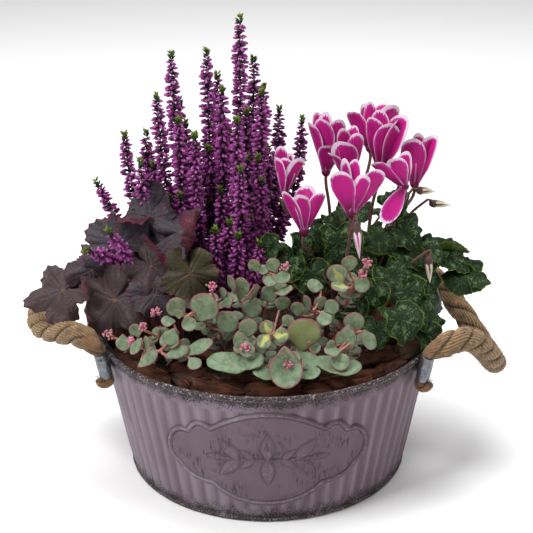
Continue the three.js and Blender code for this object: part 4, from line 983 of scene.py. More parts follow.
@dataclass
class Fittings:
    """The sleeves that hold the ropes on the wall, with their tongues and rivets."""

    tub: Tub
    level: float = 118.5             # of a sleeve's middle
    length: float = 21.0
    radius: float = 5.6
    bore: float = 4.7
    out: float = 8.6                 # from the plain wall to the sleeve's axis
    tongue: tuple[float, float, float, float] = (4.0, 17.0, -12.0, 0.5)
    rivet: tuple[float, float] = (12.0, -6.0)

    def on_wall(self, points: Array, azimuth: float, mirrored: bool = False) -> Array:
        """Points given along the wall, out of it and up its slope, moved to an azimuth."""
        slope = math.atan((self.tub.rim - self.tub.foot) / self.tub.height)
        out = polar(math.cos(slope), azimuth, -math.sin(slope))
        up = polar(math.sin(slope), azimuth, math.cos(slope))
        radius = self.tub.wall_radius(self.level)
        shown = points * np.array([-1.0, 1.0, 1.0]) if mirrored else points
        return shown @ np.stack([np.cross(out, up), out, up]) + polar(radius, azimuth, self.level)

    def _shown(self, shape: Surface, azimuth: float, mirrored: bool) -> Surface:
        """A surface on the wall, with its faces turned out again where it is mirrored."""
        faces = shape.faces
        if mirrored:
            whole = faces[:, 3] >= 0
            faces = np.where(whole[:, None], faces[:, ::-1], faces[:, [2, 1, 0, 3]])
        return Surface(self.on_wall(shape.points, azimuth, mirrored), faces, shape.paint, shape.values)

    def _sleeve(self) -> Surface:
        """A rolled tube whose wall has rounded lips, and a thin tongue with round corners.

        The tube's profile runs up inside and down outside; the tongue is a flattened round block, its
        section's sines and cosines squared off.
        """
        angle = TAU * np.arange(40)[None, :] / 40
        half = self.length / 2
        profile = np.array([(self.bore, -half), (self.bore, half), (self.bore + 0.2, half + 0.35),
                            (self.radius - 0.1, half + 0.4), (self.radius, half), (self.radius, 3.5),
                            (self.radius + 0.12, 3), (self.radius + 0.12, -3), (self.radius, -3.5),
                            (self.radius, -half), (self.radius - 0.1, -half - 0.4),
                            (self.bore + 0.2, -half - 0.35), (self.bore, -half)])[::-1]
        reach = profile[:, :1] * (1 + 0.02 * np.cos(2 * angle + 0.6))
        rings = np.stack([reach * np.cos(angle), self.out + reach * np.sin(angle),
                          np.broadcast_to(profile[:, 1:], reach.shape)], axis=-1)
        near, far, low, high = self.tongue
        lat = np.linspace(-math.pi / 2, math.pi / 2, 15)[:, None]
        round_off = 0.45
        reach = squared(np.cos(lat), round_off)
        x = (near + far) / 2 + (far - near) / 2 * reach * squared(np.cos(angle), round_off)
        z = (low + high) / 2 + (high - low) / 2 * reach * squared(np.sin(angle), round_off)
        y = 2.0 + 0.6 * squared(np.sin(lat), round_off) + 0 * angle
        web = np.clip((self.radius + 1.5 - x) / 3, 0, 1) ** 2 * 5
        plate = np.stack([x, y + web, z], axis=-1)[:, ::-1]
        return Surface.joined([Surface.grid(rings, wrap=True).welded(),
                               Surface.grid(plate, wrap=True).welded()])

    def _rivet(self) -> Surface:
        """A domed head on a shank, turned about its axis out of the wall."""
        profile = np.array([(0.0, -1.7), (1.6, -1.7), (1.6, 2.9), (3.3, 2.9), (3.45, 3.2), (3.2, 3.9),
                            (2.5, 4.5), (1.4, 4.85), (0.0, 4.95)])
        angle = TAU * np.arange(24)[None, :] / 24
        x = self.rivet[0] + profile[:, :1] * np.cos(angle)
        z = self.rivet[1] + profile[:, :1] * np.sin(angle)
        rings = np.stack([x, np.broadcast_to(profile[:, 1:], x.shape), z], axis=-1)
        return Surface.grid(rings[:, ::-1], wrap=True).welded()

    def build(self, metal: Material) -> None:
        """Builds the four sleeves and rivets in place of their nodes."""
        for side, angles in SLEEVE_ANGLES.items():
            for end, azimuth, mirrored in (("front", angles[0], side is Side.RIGHT),
                                           ("back", angles[1], side is Side.LEFT)):
                for kind, shape in (("rope_sleeve", self._sleeve()), ("rivet", self._rivet())):
                    node = f"{kind}_{side.value}_{end}"
                    shown = self._shown(shape, azimuth, mirrored)
                    shown.build(f"{node}_fine", [metal], "galvanised_metal", node)


@dataclass
class RopeHandle:
    """A thick rope of three strands between two sleeves, squeezed into them, with stray fibres."""

    side: Side
    fittings: Fittings
    radius: float = 9.5
    core: float = 4.1
    lay: float = 62.0                # length of one turn of a strand
    yarns: int = 26                  # yarns seen round the rope
    crease: float = 0.25

    def _twisted(self, path: Array, radius: Array, sides: int, reference: Point, start: float = 0.0,
                 tone: float = 0.4) -> Surface:
        """A rope along a path.

        Round the rope the radius follows the size of the cosine of one and a half times the angle, so it
        has three strands with creases between them, and it turns once in a lay. The yarns are twisted
        against the strands, so they run nearly along the rope: their ribs are the size of the sine of
        half their number times the angle, shifted from strand to strand, and they wander a little.
        """
        run = np.r_[0, np.cumsum(np.linalg.norm(np.diff(path, axis=0), axis=1))][:, None] + start
        angle = TAU * np.arange(sides)[None, :] / sides
        turned = angle + TAU * run / self.lay
        lobe = np.abs(np.cos(1.5 * turned))
        strand = np.floor(turned / (TAU / 3) + 0.5)
        wander = (0.5 * np.sin(run / 5.5 + 2.1 * strand + 3 * angle)
                  + 0.35 * np.sin(run / 2.9 + 5 * angle + strand))
        rib = np.abs(np.sin(self.yarns / 2 * angle - 0.9 * TAU * run / self.lay + 1.3 * strand + wander))
        size = np.asarray(radius, float).reshape(-1, 1)
        wobble = 0.025 * np.sin(run / 7 + 3 * strand)
        reach = size * (1 - self.crease * (1 - lobe) ** 2.2 + 0.11 * (np.sqrt(rib) - 0.7) + wobble)
        # crest is high on the strands' tops and low in the creases; the jute paints shade where it is low.
        crest = np.clip(0.3 + lobe * 1.5, 0, 1) * (0.3 + 0.7 * rib**0.75)
        around = self.radius * (angle + 0.3 * wander)
        return tube(path, reach, sides, reference, crest=crest, around=around, along=run,
                    tone=np.full(len(path), tone))

    def _fibres(self, rope: Surface, seed: int, count: int) -> Surface:
        """Stray hairs: thin curved spikes that leave the rope at a low angle."""
        random = np.random.default_rng(seed)
        picked = random.integers(0, len(rope.points), count)
        centre = rope.points.mean(0)
        outward = unit(rope.points[picked] - self._nearest(rope.points[picked]))
        lean = unit(outward * random.uniform(0.3, 1.0, (count, 1)) + random.normal(size=(count, 3)) * 0.9)
        t = np.linspace(0, 1, 5)
        spike = np.stack([0.25 * t**2, t, 0.2 * t**2], axis=1)
        hair = tube(spike, np.array([0.034, 0.03, 0.026, 0.02, 0.01]), 3, crest=np.ones(5), along=t * 4)
        turns = bases(lean, centre - rope.points[picked] + 1e-3) * random.uniform(2.2, 6.5, (count, 1, 1))
        return hair.scattered(rope.points[picked] - outward * 0.5, turns, tone=random.uniform(0, 1, count),
                              around=random.uniform(0, 60, count))

    def _route(self, count: int) -> Array:
        """The loop's middle line at even steps."""
        return spline(ROPE_ROUTES[self.side], count)

    def _nearest(self, points: Array) -> Array:
        """The route's nearest point, out of sixty, to each point."""
        route = self._route(60)
        return spaced(route, 60)[np.linalg.norm(points[:, None] - route[None], axis=2).argmin(1)]

    def _end(self, azimuth: float, tip: Array, inner: Array, seed: int) -> Surface:
        """The squeezed end: a frayed tail turned out below the sleeve, the core, and the way to the loop."""
        half = self.fittings.length / 2
        along = np.array([-half - 5, -half + 6, half - 3, half + 2])
        held = np.stack([0 * along, self.fittings.out + 0 * along, along], axis=1)
        swell, *bore = self.fittings.on_wall(held, azimuth)
        out = polar(1, azimuth, 0)
        tail = swell + out * 8.5 + np.array([0, 0, 2.0])
        turned = swell + out * 4.5 + np.array([0, 0, -1.0])
        path = spline([tail, turned, swell - out * 0.5, *bore, tip, inner], 90)
        share = np.linspace(0, 1, len(path))
        radius = np.interp(share, [0, 0.05, 0.12, 0.2, 0.3, 0.36, 0.62, 0.68, 0.76, 0.86, 1.0],
                           [2.6, 4.0, 4.8, 5.0, 4.6, self.core, self.core, 4.6, 6.4, 7.6, 8.2])
        rope = self._twisted(path, radius, 80, (-out[1], out[0], 0.1), 11.0, 0.0)
        random = np.random.default_rng(seed)
        count = 40
        t = np.linspace(0, 1, 4)
        curl = np.stack([0.15 * t**2, t, -0.1 * t**2], axis=1)
        hair = tube(curl, np.array([0.05, 0.045, 0.035, 0.015]), 4, crest=np.ones(4),
                    tone=np.full(4, 0.2), around=t * 3, along=t * 5)
        lean = unit(out + random.normal(size=(count, 3)) * 0.7)
        starts = tail - out * 3 + random.normal(size=(count, 3)) * 1.6
        turns = bases(lean, np.tile([0.1, 0.2, 1.0], (count, 1))) * random.uniform(3, 5, (count, 1, 1))
        return Surface.joined([rope, hair.scattered(starts, turns)])

    def build(self, jute: Material) -> None:
        """Builds the loop, its two ends and its fibres."""
        path = self._route(250)
        run = np.linalg.norm(np.diff(path, axis=0), axis=1).sum()
        along = np.linspace(0, run, len(path))
        ends = np.minimum(along, run - along)
        radius = self.radius * (0.7 + 0.3 * smoothstep(0, 9, ends))
        middle = path - path.mean(0)
        flat = np.linalg.svd(middle, full_matrices=False)[2][2]
        down = flat if flat[2] < 0 else -flat
        loop = self._twisted(path, radius, 180, down)
        name = f"rope_handle_{self.side.value}"
        piece = loop.build(f"{name}_rope", [jute], "jute_rope")
        tails = zip(SLEEVE_ANGLES[self.side], (path, path[::-1]), ("front", "back"))
        for k, (azimuth, way, end_name) in enumerate(tails):
            end = self._end(azimuth, way[1], way[10], 5 + k)
            end.build(f"{name}_end_{end_name}", [jute], "jute_rope")
        seed = 21 if self.side is Side.RIGHT else 22
        self._fibres(loop, seed, 620).build(f"{name}_fibres", [jute], "jute_rope")
        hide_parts(name)
        2 * self.radius * MM


# ---------- tub, liner, soil and mulch ----------

@dataclass
class Tub:
    """The round tapered tub: seam bead, flutes, raised label with a plain leafy sprig, rolled rim."""

    rim: float = 140.0
    foot: float = 116.0
    height: float = 124.0
    wall: float = 1.8
    floor: float = 1.8
    flutes: int = 64
    flute_height: float = 0.8
    seam: float = 2.2                # radius of the bead at the foot
    bead: float = 2.3                # radius of the rolled rim
    label_reach: float = 81.0
    label_levels: tuple[float, float] = (15.0, 112.0)
    field_relief: float = 0.8
    ridge_relief: float = 1.5
    fine: float = 0.75               # step of the grid at the label

    def wall_radius(self, z: Array) -> Array:
        """The plain wall's radius: it grows evenly from the foot to the rim."""
        return self.foot + (self.rim - self.foot) * z / self.height

    def _outline(self) -> Array:
        """The label's outline as a closed chain: curves that three points each steer, and their mirror."""
        bends = [((0, 109), (22, 109), (44, 92)), ((44, 92), (55, 102), (62, 86)),
                 ((62, 86), (75, 88), (78, 69)), ((78, 69), (79, 54), (69, 49)),
                 ((69, 49), (64, 36), (43, 35)), ((43, 35), (28, 18.5), (0, 18.5))]
        t = np.linspace(0, 1, 13)[:-1, None]
        curves = [(1 - t) ** 2 * np.array(a) + 2 * t * (1 - t) * np.array(b) + t**2 * np.array(c)
                  for a, b, c in bends]
        half = np.concatenate([*curves, np.array([[0, 18.5]])])
        return np.concatenate([half, (half * np.array([-1, 1]))[-2:0:-1]])

    def _depth_inside(self, x: Array, z: Array) -> Array:
        """How far a point is inside the outline: the least distance to its sides, negative outside."""
        ring = self._outline()
        a, b = ring, np.roll(ring, -1, axis=0)
        p = np.stack([x, z], axis=-1)[..., None, :]
        ab = b - a
        share = np.clip(((p - a) * ab).sum(-1) / (ab**2).sum(-1), 0, 1)
        least = np.linalg.norm(p - a - share[..., None] * ab, axis=-1).min(-1)
        above = (a[:, 1] > z[..., None]) != (b[:, 1] > z[..., None])
        cross = a[:, 0] + (z[..., None] - a[:, 1]) / np.where(ab[:, 1] == 0, 1e-9, ab[:, 1]) * ab[:, 0]
        inside = (above & (x[..., None] < cross)).sum(-1) % 2 == 1
        return np.where(inside, least, -least)

    def _sprig(self, x: Array, z: Array) -> tuple[Array, Array]:
        """The sprig's relief and the dark line about it.

        A leaf is as wide as the sine of the share of its length; it domes from its edge, and a groove
        runs down its middle.
        """
        middle = sum(self.label_levels) / 2 + 0.25
        relief = 0.9 * smoothstep(1.5, 0.8, np.abs(z - middle)) * smoothstep(37, 35, np.abs(x))
        line = bell(np.abs(z - middle), 1.5, 0.5) * smoothstep(36, 34, np.abs(x))
        leaves = [(x0, (180 if x0 < 0 else 0) + s * (1 if x0 > 0 else -1) * 50, 24.0) for x0 in (-22, 22)
                  for s in (-1, 1)]
        leaves += [(0.0, 90.0, 26.0), (0.0, -90.0, 26.0), (-33.0, 180.0, 15.0), (33.0, 0.0, 15.0)]
        leaves += [(x0, 90.0 + turn * (1 if x0 > 0 else -1), 14.0) for x0 in (-11, 11)
                   for turn in (-48.0, -132.0)]
        for x0, degrees, length in leaves:
            c, s = math.cos(math.radians(degrees)), math.sin(math.radians(degrees))
            along = (x - x0) * c + (z - middle) * s
            across = np.abs((z - middle) * c - (x - x0) * s)
            share = np.clip((along + 1) / (length + 1), 0, 1)
            half = 0.21 * length * np.sin(math.pi * share**0.85)
            dome = 1.5 * smoothstep(0, 2.4, half - across) - 0.5 * bell(across, 0, 0.45) * (half > 1)
            relief = np.maximum(relief, dome)
            line = np.maximum(line * (half - across < 0.3),
                              bell(half - across, -0.3, 0.55) * (share > 0) * (share < 1))
        return relief, line

    def _columns(self) -> Array:
        """Angles round the tub: close together at the label, wider elsewhere."""
        reach = math.radians(39.5)
        front = np.linspace(-reach, reach, int(2 * reach * self.rim / self.fine / 1.08))
        back = np.linspace(reach, TAU - reach, 354)[1:-1]
        return np.r_[front, back] - math.pi / 2

    def _rows(self) -> tuple[Array, Array, Array]:
        """Offsets from the plain wall, levels, and how much of the wall's relief each row takes."""
        a = np.radians(np.linspace(-90, 75, 9))
        seam = np.stack([-0.8 + self.seam * np.cos(a), 2.4 + 2.4 * np.sin(a)], axis=1)
        levels = np.r_[np.linspace(5.4, 15, 7), np.arange(16, 111.4, 0.85), np.linspace(112, 117.6, 6)]
        wall = np.stack([np.zeros(len(levels)), levels], axis=1)
        a = np.radians(np.linspace(-62, 190, 15))
        bead = np.stack([0.2 + self.bead * np.cos(a), 121.7 + self.bead * np.sin(a)], axis=1)
        inside = np.stack([np.full(6, -self.wall), np.linspace(119, self.floor, 6)], axis=1)
        rows = np.concatenate([seam, wall, bead, inside])
        weight = np.r_[np.zeros(len(seam)), np.ones(len(wall)), np.zeros(len(bead) + len(inside))]
        return rows[:, :1], rows[:, 1:], weight[:, None]

    def surface(self) -> Surface:
        """The whole tub as one closed skin: each ring's radius is the plain wall plus the relief."""
        phi = self._columns()[None, :]
        offset, z, weight = self._rows()
        radius = self.wall_radius(z) + offset
        wave = np.cos(self.flutes * phi) * smoothstep(8, 14, z) * smoothstep(112, 106, z)
        flute = self.flute_height * wave
        x = radius * np.cos(phi)
        front = (np.sin(phi) < 0) & (np.abs(x) < self.label_reach + 5) & (z > 12) & (z < 115) & (weight > 0)
        depth = np.full(x.shape, -50.0)
        level = np.broadcast_to(z, x.shape)
        depth[front] = self._depth_inside(x[front], level[front])
        within = smoothstep(-0.8, 0.8, depth)
        relief, line = self._sprig(x, level)
        relief, line = relief * (depth > 5), line * (depth > 5)
        label = (self.field_relief * smoothstep(0, 1.6, depth) + self.ridge_relief * bell(depth, 1.6, 1.0)
                 - 0.4 * bell(depth, 3.7, 0.6) + 0.35 * bell(depth, 4.9, 0.6) + relief)
        wall_points = ring(radius, phi, level)
        dents = 0.22 * waves(wall_points, 60, 3) + 0.05 * waves(wall_points, 9, 4)
        uneven = (1 - weight) * 0.08 * waves(wall_points, 11, 5)
        radius = radius + weight * (flute * (1 - within) + label * (depth > -3) + dents) + uneven
        crease = weight * (0.75 * bell(depth, -0.5, 0.7) + 0.85 * bell(depth, 3.6, 0.65) + 0.75 * line)
        ridge = weight * (bell(depth, 1.6, 0.9) + 0.5 * bell(depth, 4.9, 0.5) + 0.4 * (relief > 1.2))
        under = [ring(0, phi, 1.0), ring(self.foot - 7, phi, 1.0), ring(self.foot - 3.4, phi, 0.4)]
        rows = np.concatenate([*under, ring(radius, phi, level), ring(0, phi, self.floor)])
        # flute carries the flutes' wave, which the paint turns into painted highlights on the crests and
        # painted shade in the hollows.
        named = {"crease": np.clip(crease, 0, 1), "ridge": np.clip(ridge, 0, 1),
                 "field": weight * smoothstep(3.5, 5.5, depth), "flute": weight * wave * (1 - within)}
        padded = {name: np.pad(np.broadcast_to(value, x.shape), ((len(under), 1), (0, 0)))
                  for name, value in named.items()}
        return Surface.grid(rows, wrap=True, **padded).welded()

    def build(self, paint: Material) -> None:
        """Builds the tub in place of its node."""
        self.surface().build("tub_fine", [paint], "painted_metal", "tub")


@dataclass
class Filling:
    """What is in the tub: the liner, the soil and a ring of bark chips."""

    tub: Tub
    liner_gap: float = 2.25
    film: float = 0.9
    soil_edge: float = 110.0
    crown: float = 113.0
    mulch_inner: float = 97.0
    chips: int = 104
    # Place of the lower face's middle, length, width, height, turn of the length from x, and tone.
    shown: tuple[tuple[float, ...], ...] = (
        (-88, -92, 113.5, 40, 13, 9, -45, 0.55), (-62, -107, 114, 16, 6, 9, -60, 0.8),
        (-36, -115, 112.5, 42, 15, 11, -14, 0.42), (5, -119, 112.5, 44, 15, 11.5, 3, 0.5),
        (38, -117, 112.5, 24, 13, 9, 14, 0.3), (57, -110, 113, 20, 12, 10, 20, 0.45),
        (72, -107, 114, 22, 8, 8, 30, 0.85), (84, -70, 117, 36, 17, 11, 24, 0.6),
        (112, -58, 115, 22, 18, 12, 40, 0.95), (102, -84, 114, 26, 12, 9, 50, 0.5),
        (-16, -104, 115, 30, 14, 10, -6, 0.6), (24, -104, 115, 30, 13, 10, 10, 0.48),
        (-62, -92, 116, 30, 13, 9, -30, 0.5), (-106, -72, 113.5, 28, 12, 9, -60, 0.35),
    )

    def soil_level(self, x: float, y: float) -> float:
        """The soil's level: it falls evenly from its crown to the flat edge under the mulch."""
        share = min(math.hypot(x, y) / (self.mulch_inner - 4), 1)
        return self.crown + (self.soil_edge - self.crown) * share

    def liner(self) -> Surface:
        """A bag of film: plain below, with soft crinkles in its free edge."""
        phi = TAU * np.arange(360)[None, :] / 360
        z = np.array([2.1, 60, 105, 114, 118, 121, 124, 125.5])[:, None]
        free = smoothstep(112, 125, z)
        top = (0.6 * np.sin(3 * phi + 0.7) + 0.5 * np.sin(17 * phi) * np.sin(5 * phi + 1)
               + 0.25 * np.sin(41 * phi))
        top = top - 7.0 * smoothstep(0.45, 0.72, np.cos(phi + math.pi / 2))
        inward = free * (0.25 + 0.25 * np.sin(23 * phi + 2 * np.sin(3 * phi)) + 0.2 * np.sin(57 * phi))
        rings = []
        for inset, order in ((0.0, 1), (self.film, -1)):
            radius = self.tub.wall_radius(z) - self.liner_gap - inset - inward
            level = z + free * top + (self.film if order < 0 else 0) * (z < 3)
            rings.append(ring(radius, phi, level)[::order])
        ends = [np.broadcast_to(np.array([0.0, 0.0, h]), (1, 360, 3)) for h in (2.1, 2.1 + self.film)]
        return Surface.grid(np.concatenate([ends[0], *rings, ends[1]]), wrap=True).welded()

    def soil(self) -> Surface:
        """A filled disc whose top is lumpy by three sizes of waves."""
        phi = TAU * np.arange(220)[None, :] / 220
        outer = self.tub.wall_radius(self.soil_edge) - self.liner_gap - self.film - 0.8
        share = np.linspace(1, 0, 70)[:, None]
        r = outer * share + 0 * phi
        x, y = r * np.cos(phi), r * np.sin(phi)
        flat = np.stack([x, y, 0 * x], axis=-1)
        level = self.soil_edge + (self.crown - self.soil_edge) * np.clip(1 - r / 93, 0, 1)
        level = (level + smoothstep(1, 0.97, share)
                 * (0.9 * waves(flat, 17, 8) + 0.6 * waves(flat, 7, 9) + 0.35 * waves(flat, 3.2, 10)))
        low = 3.3
        base = self.tub.wall_radius(low) - self.liner_gap - self.film - 0.8
        rows = np.concatenate([ring(0, phi, low), ring(base, phi, low), np.stack([x, y, level], axis=-1)])
        return Surface.grid(rows, wrap=True).welded()

    def _chip(self, length: float, width: float, height: float, seed: int) -> Surface:
        """A split chip: a squared-off round body along y, ribbed along its grain, with torn ends."""
        random = np.random.default_rng(seed)
        u = np.linspace(-1, 1, 15)[:, None]
        v = (TAU * np.arange(22) / 22)[None, :]
        rib = (0.09 * np.sin(5 * v + seed) + 0.07 * np.sin(9 * v + 2.3 * seed)
               + 0.05 * np.sin(14 * v + 3 * u))
        swell = (1 - np.abs(u) ** random.uniform(4, 9)) ** 0.3 * (1 + 0.14 * np.sin(2.4 * u + seed))
        torn = 1 + 0.1 * np.sin(4 * v + 1.7 * seed) + 0.07 * np.sin(7 * v + seed)
        bend = random.uniform(-2.5, 2.5) * u**2
        x = width / 2 * squared(np.cos(v), 0.72) * swell * (1 + rib) + bend
        z = height / 2 * squared(np.sin(v), 0.6) * swell * (1 + 1.4 * rib) + height / 2
        z = z - 0.6 * random.uniform(0, 1) * u
        y = length / 2 * u * torn
        body = np.stack([x, y, z], axis=-1)
        caps = [np.broadcast_to(body[k].mean(0), (1, 22, 3)) for k in (0, -1)]
        rows = np.concatenate([caps[0], body, caps[1]])
        across = np.broadcast_to(width / 2 * np.sin(v) + height * np.cos(v), (17, 22))
        along = np.concatenate([y[:1], y + 0 * v, y[-1:]])
        return Surface.grid(rows[:, ::-1], wrap=True, across=across, along=along[:, ::-1]).welded()

    def mulch(self) -> Surface:
        """Chips in three layers round the rim, most of them along it, a few between the plants, and those
        that stand out along the front. What reaches past the liner below the rim is pressed in to it."""
        random = np.random.default_rng(77)
        parts = []
        for k, (x, y, level, length, width, high, degrees, tone) in enumerate(self.shown):
            turn = math.radians(degrees)
            basis = bases(np.array([math.cos(turn), math.sin(turn), 0.06 * math.sin(3 * k)]),
                          np.array([0.0, -0.28, 1.0]))
            parts.append(self._chip(length, width, high, 200 + k).placed((x, y, level), basis, tone=tone))
        for k in range(self.chips):
            layer = k % 3
            angle = TAU * (k * 0.381966 + 0.02 * random.uniform(-1, 1))
            radius = (random.uniform(100, 128), random.uniform(110, 127), random.uniform(62, 122))[layer]
            length = random.uniform(20, 42)
            width = random.uniform(9, 16) * (0.8 + 0.2 * length / 42)
            reach = math.hypot(radius + width / 2, length / 2)
            radius -= max(reach - 133.0, 0)
            high = random.uniform(5, 8.5)
            level = self.soil_edge + 0.4 + (0.0, 3.2, 4.6)[layer] + (1.5 if radius < 95 else 0)
            turn = angle + random.normal() * (0.25, 0.35, 0.9)[layer]
            face = np.array([math.cos(turn + 1.57) * random.uniform(-0.2, 0.2),
                             math.sin(turn) * random.uniform(-0.2, 0.2), 1.0])
            forward = np.array([-math.sin(turn), math.cos(turn), random.uniform(-0.12, 0.12)])
            basis = bases(forward, face)
            origin = (radius * math.cos(angle), radius * math.sin(angle), level)
            chip = self._chip(length, width, high, k + 1)
            parts.append(chip.placed(origin, basis, tone=random.uniform(0, 1)))
        whole = Surface.joined(parts)
        x, y, z = whole.points.T
        most = self.tub.wall_radius(z) - self.liner_gap - self.film - 0.6 + 12 * smoothstep(124, 132, z)
        whole.points[:, :2] *= np.minimum(1, most / np.maximum(np.hypot(x, y), 1))[:, None]
        return whole

    def build(self, film: Material, earth: Material, bark: Material) -> None:
        """Builds the three pieces in place of their nodes."""
        self.liner().build("liner_film", [film], "liner_plastic", "liner")
        self.soil().build("soil_crumbs", [earth], "potting_soil", "soil")
        self.mulch().build("bark_chips", [bark], "bark", "bark_mulch")


# ---------- heather ----------

@dataclass
class Heather:
    """Upright heather: dark stems with scale leaves, whorls of florets and a fresh green tip."""

    filling: Filling
    flowered: float = 150.0          # length of a shoot that carries florets
    whorl: float = 3.15
    around: int = 5
    floret_length: float = 7.0
    floret_width: float = 2.9
    stem: float = 0.95
    fresh: float = 7.0               # length of the green tip
    steps: int = 160                 # points on a main shoot's path

    branches: tuple[tuple[Point, tuple[Point, ...]], ...] = (
        ((-27, 54), ((-20, 45, 373), (-9, 62, 336))),
        ((-17, 42), ((-1, 46, 316), (-3, 21, 318))),
        ((-40, 40), ((-47, 35, 348), (-34, 15, 322))),
        ((-56, 42), ((-75, 30, 347), (-86, 10, 318))),
        ((-72, 32), ((-113, 10, 286), (-98, 27, 283))),
        ((-66, 16), ((-100, -6, 268), (-69, 4, 300))),
        ((-53, 26), ((-66, 48, 285), (-56, -2, 288))),
        ((-34, 26), ((-22, -2, 301), (-15, 38, 297))),
        ((-20, 26), ((-6, 4, 268), (-20, -14, 264))),
        ((-14, 62), ((12, 70, 290), (32, 84, 277))),
        ((-82, 16), ((-137, -4, 251, 0.9), (-122, -58, 228, 0.9), (-142, -54, 209, 1.8))),
        ((-38, 8), ((-22, -30, 214), (-40, -28, 218), (-5, -28, 206))),
        ((-44, 62), ((-40, 78, 318), (-72, 66, 300), (-98, 54, 262))),
    )

    def _floret(self) -> Surface:
        """A long bud along y: its radius swells to the middle and narrows to the mouth."""
        t = np.array([0.0, 0.45, 0.92])
        swell = np.array([0.2, 0.56, 0.32]) * self.floret_width / self.floret_length
        path = np.stack([0 * t, t, -0.1 * t**2], axis=1)
        return tube(path, swell, 4, along=t)

    def _scale(self) -> Surface:
        """A short thick leaf along y that ends in a point."""
        t = np.array([0.0, 0.4, 1.0])
        return tube(np.stack([0 * t, t, 0.12 * t**2], axis=1), np.array([0.15, 0.26, 0.04]), 3, paint=1,
                    along=t)

    def _way(self, root: Point, tip: Point) -> Array:
        """Up out of the soil, out towards the tip, then upright, or leaning where the tip has a fourth
        number: 1 is straight on, more is flatter at the end."""
        foot = np.array([root[0], root[1], self.filling.soil_level(*root) + 1])
        end = np.asarray(tip[:3], float)
        lean = tip[3] if len(tip) > 3 else 0.0
        out = (0.2, 0.68 - 0.25 * lean, 0.93 - 0.2 * lean)
        between = foot + (end - foot) * np.stack([out, out, (0.16, 0.45, 0.75)], axis=1)
        return spline([foot - [0, 0, 15], foot, *between, end], self.steps)

    def _leaves(self, path: Array, ways: tuple[Array, Array, Array], at: Array, random: np.random.Generator,
                size: float, splay: float, tone: Array) -> Surface:
        """Scale leaves at shares of a path: each leans out by the splay."""
        k = (at * (len(path) - 1)).astype(int)
        angle = random.uniform(0, TAU, len(at))[:, None]
        out = np.cos(angle) * ways[1][k] + np.sin(angle) * ways[2][k]
        forward = ways[0][k] + out * splay
        return self._scale().scattered(path[k] + out * 0.5,
                                       bases(forward, out) * size
                                       * random.uniform(0.8, 1.2, (len(at), 1, 1)), tone=tone)

    def shoot(self, path: Array, seed: int, flowered: float) -> list[Surface]:
        """One flowering shoot along a path.

        Args:
            path: its middle line, from the soil to the tip.
            seed: of its small differences.
            flowered: the length below the tip that carries florets.

        Returns:
            Stem, scale leaves, florets and fresh tip.
        """
        random = np.random.default_rng(seed)
        ways = frames(path)
        length = np.linalg.norm(np.diff(path, axis=0), axis=1).sum()
        bare = max(1 - flowered / length, 0.12)
        sparse = path[::8]
        parts = [tube(sparse, np.linspace(1.5, 0.6, len(sparse)) * self.stem, 5, paint=1,
                      tone=np.full(len(sparse), 0.15))]
        whorls = int(length * (1 - bare) / self.whorl)
        level = np.repeat(bare + (1 - bare - self.fresh / length) * (np.arange(whorls) + 0.5) / whorls,
                          self.around)
        level = np.clip(level + random.normal(size=level.size) * 0.0022, 0, 0.985)
        turn = (np.tile(TAU * np.arange(self.around) / self.around, whorls)
                + np.repeat(np.arange(whorls) * 0.79, self.around))
        angle = (turn + random.normal(size=level.size) * 0.22)[:, None]
        keep = random.uniform(size=level.size) > 0.06
        level, angle = level[keep], angle[keep]
        k = (level * (len(path) - 1)).astype(int)
        out = np.cos(angle) * ways[1][k] + np.sin(angle) * ways[2][k]
        rise = random.normal(0.12, 0.24, (len(k), 1))
        forward = unit(out + ways[0][k] * rise)
        taper = 1 - 0.35 * smoothstep(0.9, 1.0, level / max(level.max(), 0.01))
        size = self.floret_length * (taper * random.uniform(0.78, 1.12, len(k)))[:, None, None]
        tone = random.uniform(0, 1, len(k))
        parts.append(self._floret().scattered(path[k] + out * 0.6, bases(forward, ways[0][k]) * size,
                                              tone=tone))
        count = int(length)
        at = random.uniform(0.08, 1 - self.fresh / length, count)
        parts.append(self._leaves(path, ways, at, random, 3.0, 0.75, random.uniform(0, 0.5, count)))
        tip = np.repeat(1 - self.fresh / length * np.linspace(1, 0.25, 5), 4)
        parts.append(self._leaves(path, ways, tip, random, 3.6, 0.8, np.linspace(0.5, 1.0, tip.size)))
        return parts

    def build(self, floret: Material, green: Material) -> None:
        """Builds each branch in place of its node, with short side shoots that the main ones carry."""
        for k, (root, tips) in enumerate(self.branches):
            parts: list[Surface] = []
            for i, tip in enumerate(tips):
                path = self._way(root, tip)
                seed = 100 * k + 10 * i
                parts += self.shoot(path, seed, self.flowered)
                random = np.random.default_rng(seed + 5)
                for share in (0.17, 0.26, 0.36, 0.5):
                    start = path[int(share * (self.steps - 1))]
                    lean = random.uniform(0, TAU)
                    reach = random.uniform(42, 74)
                    side = np.array([math.cos(lean), math.sin(lean), 0])
                    way = [start, start + side * 8 + [0, 0, reach * 0.35],
                           start + side * 12 + [0, 0, reach]]
                    parts += self.shoot(spline(way, 60), seed + 7, reach * 0.75)
            Surface.joined(parts).build(f"heather_{k + 1}", [floret, green], "heather",
                                        f"heather_branch_{k + 1}")


# ---------- leaves on stalks ----------

@dataclass
class LeafPlace:
    """Where a leaf stands: the middle of its blade, its radius, the way of its tip and of its face."""

    middle: Point
    radius: float
    tip: Point
    face: Point
    form: float = 0.0                # a leaf's own number, for its shape and tone
    # Folds: the way of the folded part in degrees from the tip, where it starts as a share of the
    # radius, and how far it turns in degrees.
    folds: tuple[tuple[float, float, float], ...] = ()

    def basis(self) -> Array:
        """The leaf's frame."""
        return bases(np.asarray(self.tip, float), np.asarray(self.face, float))


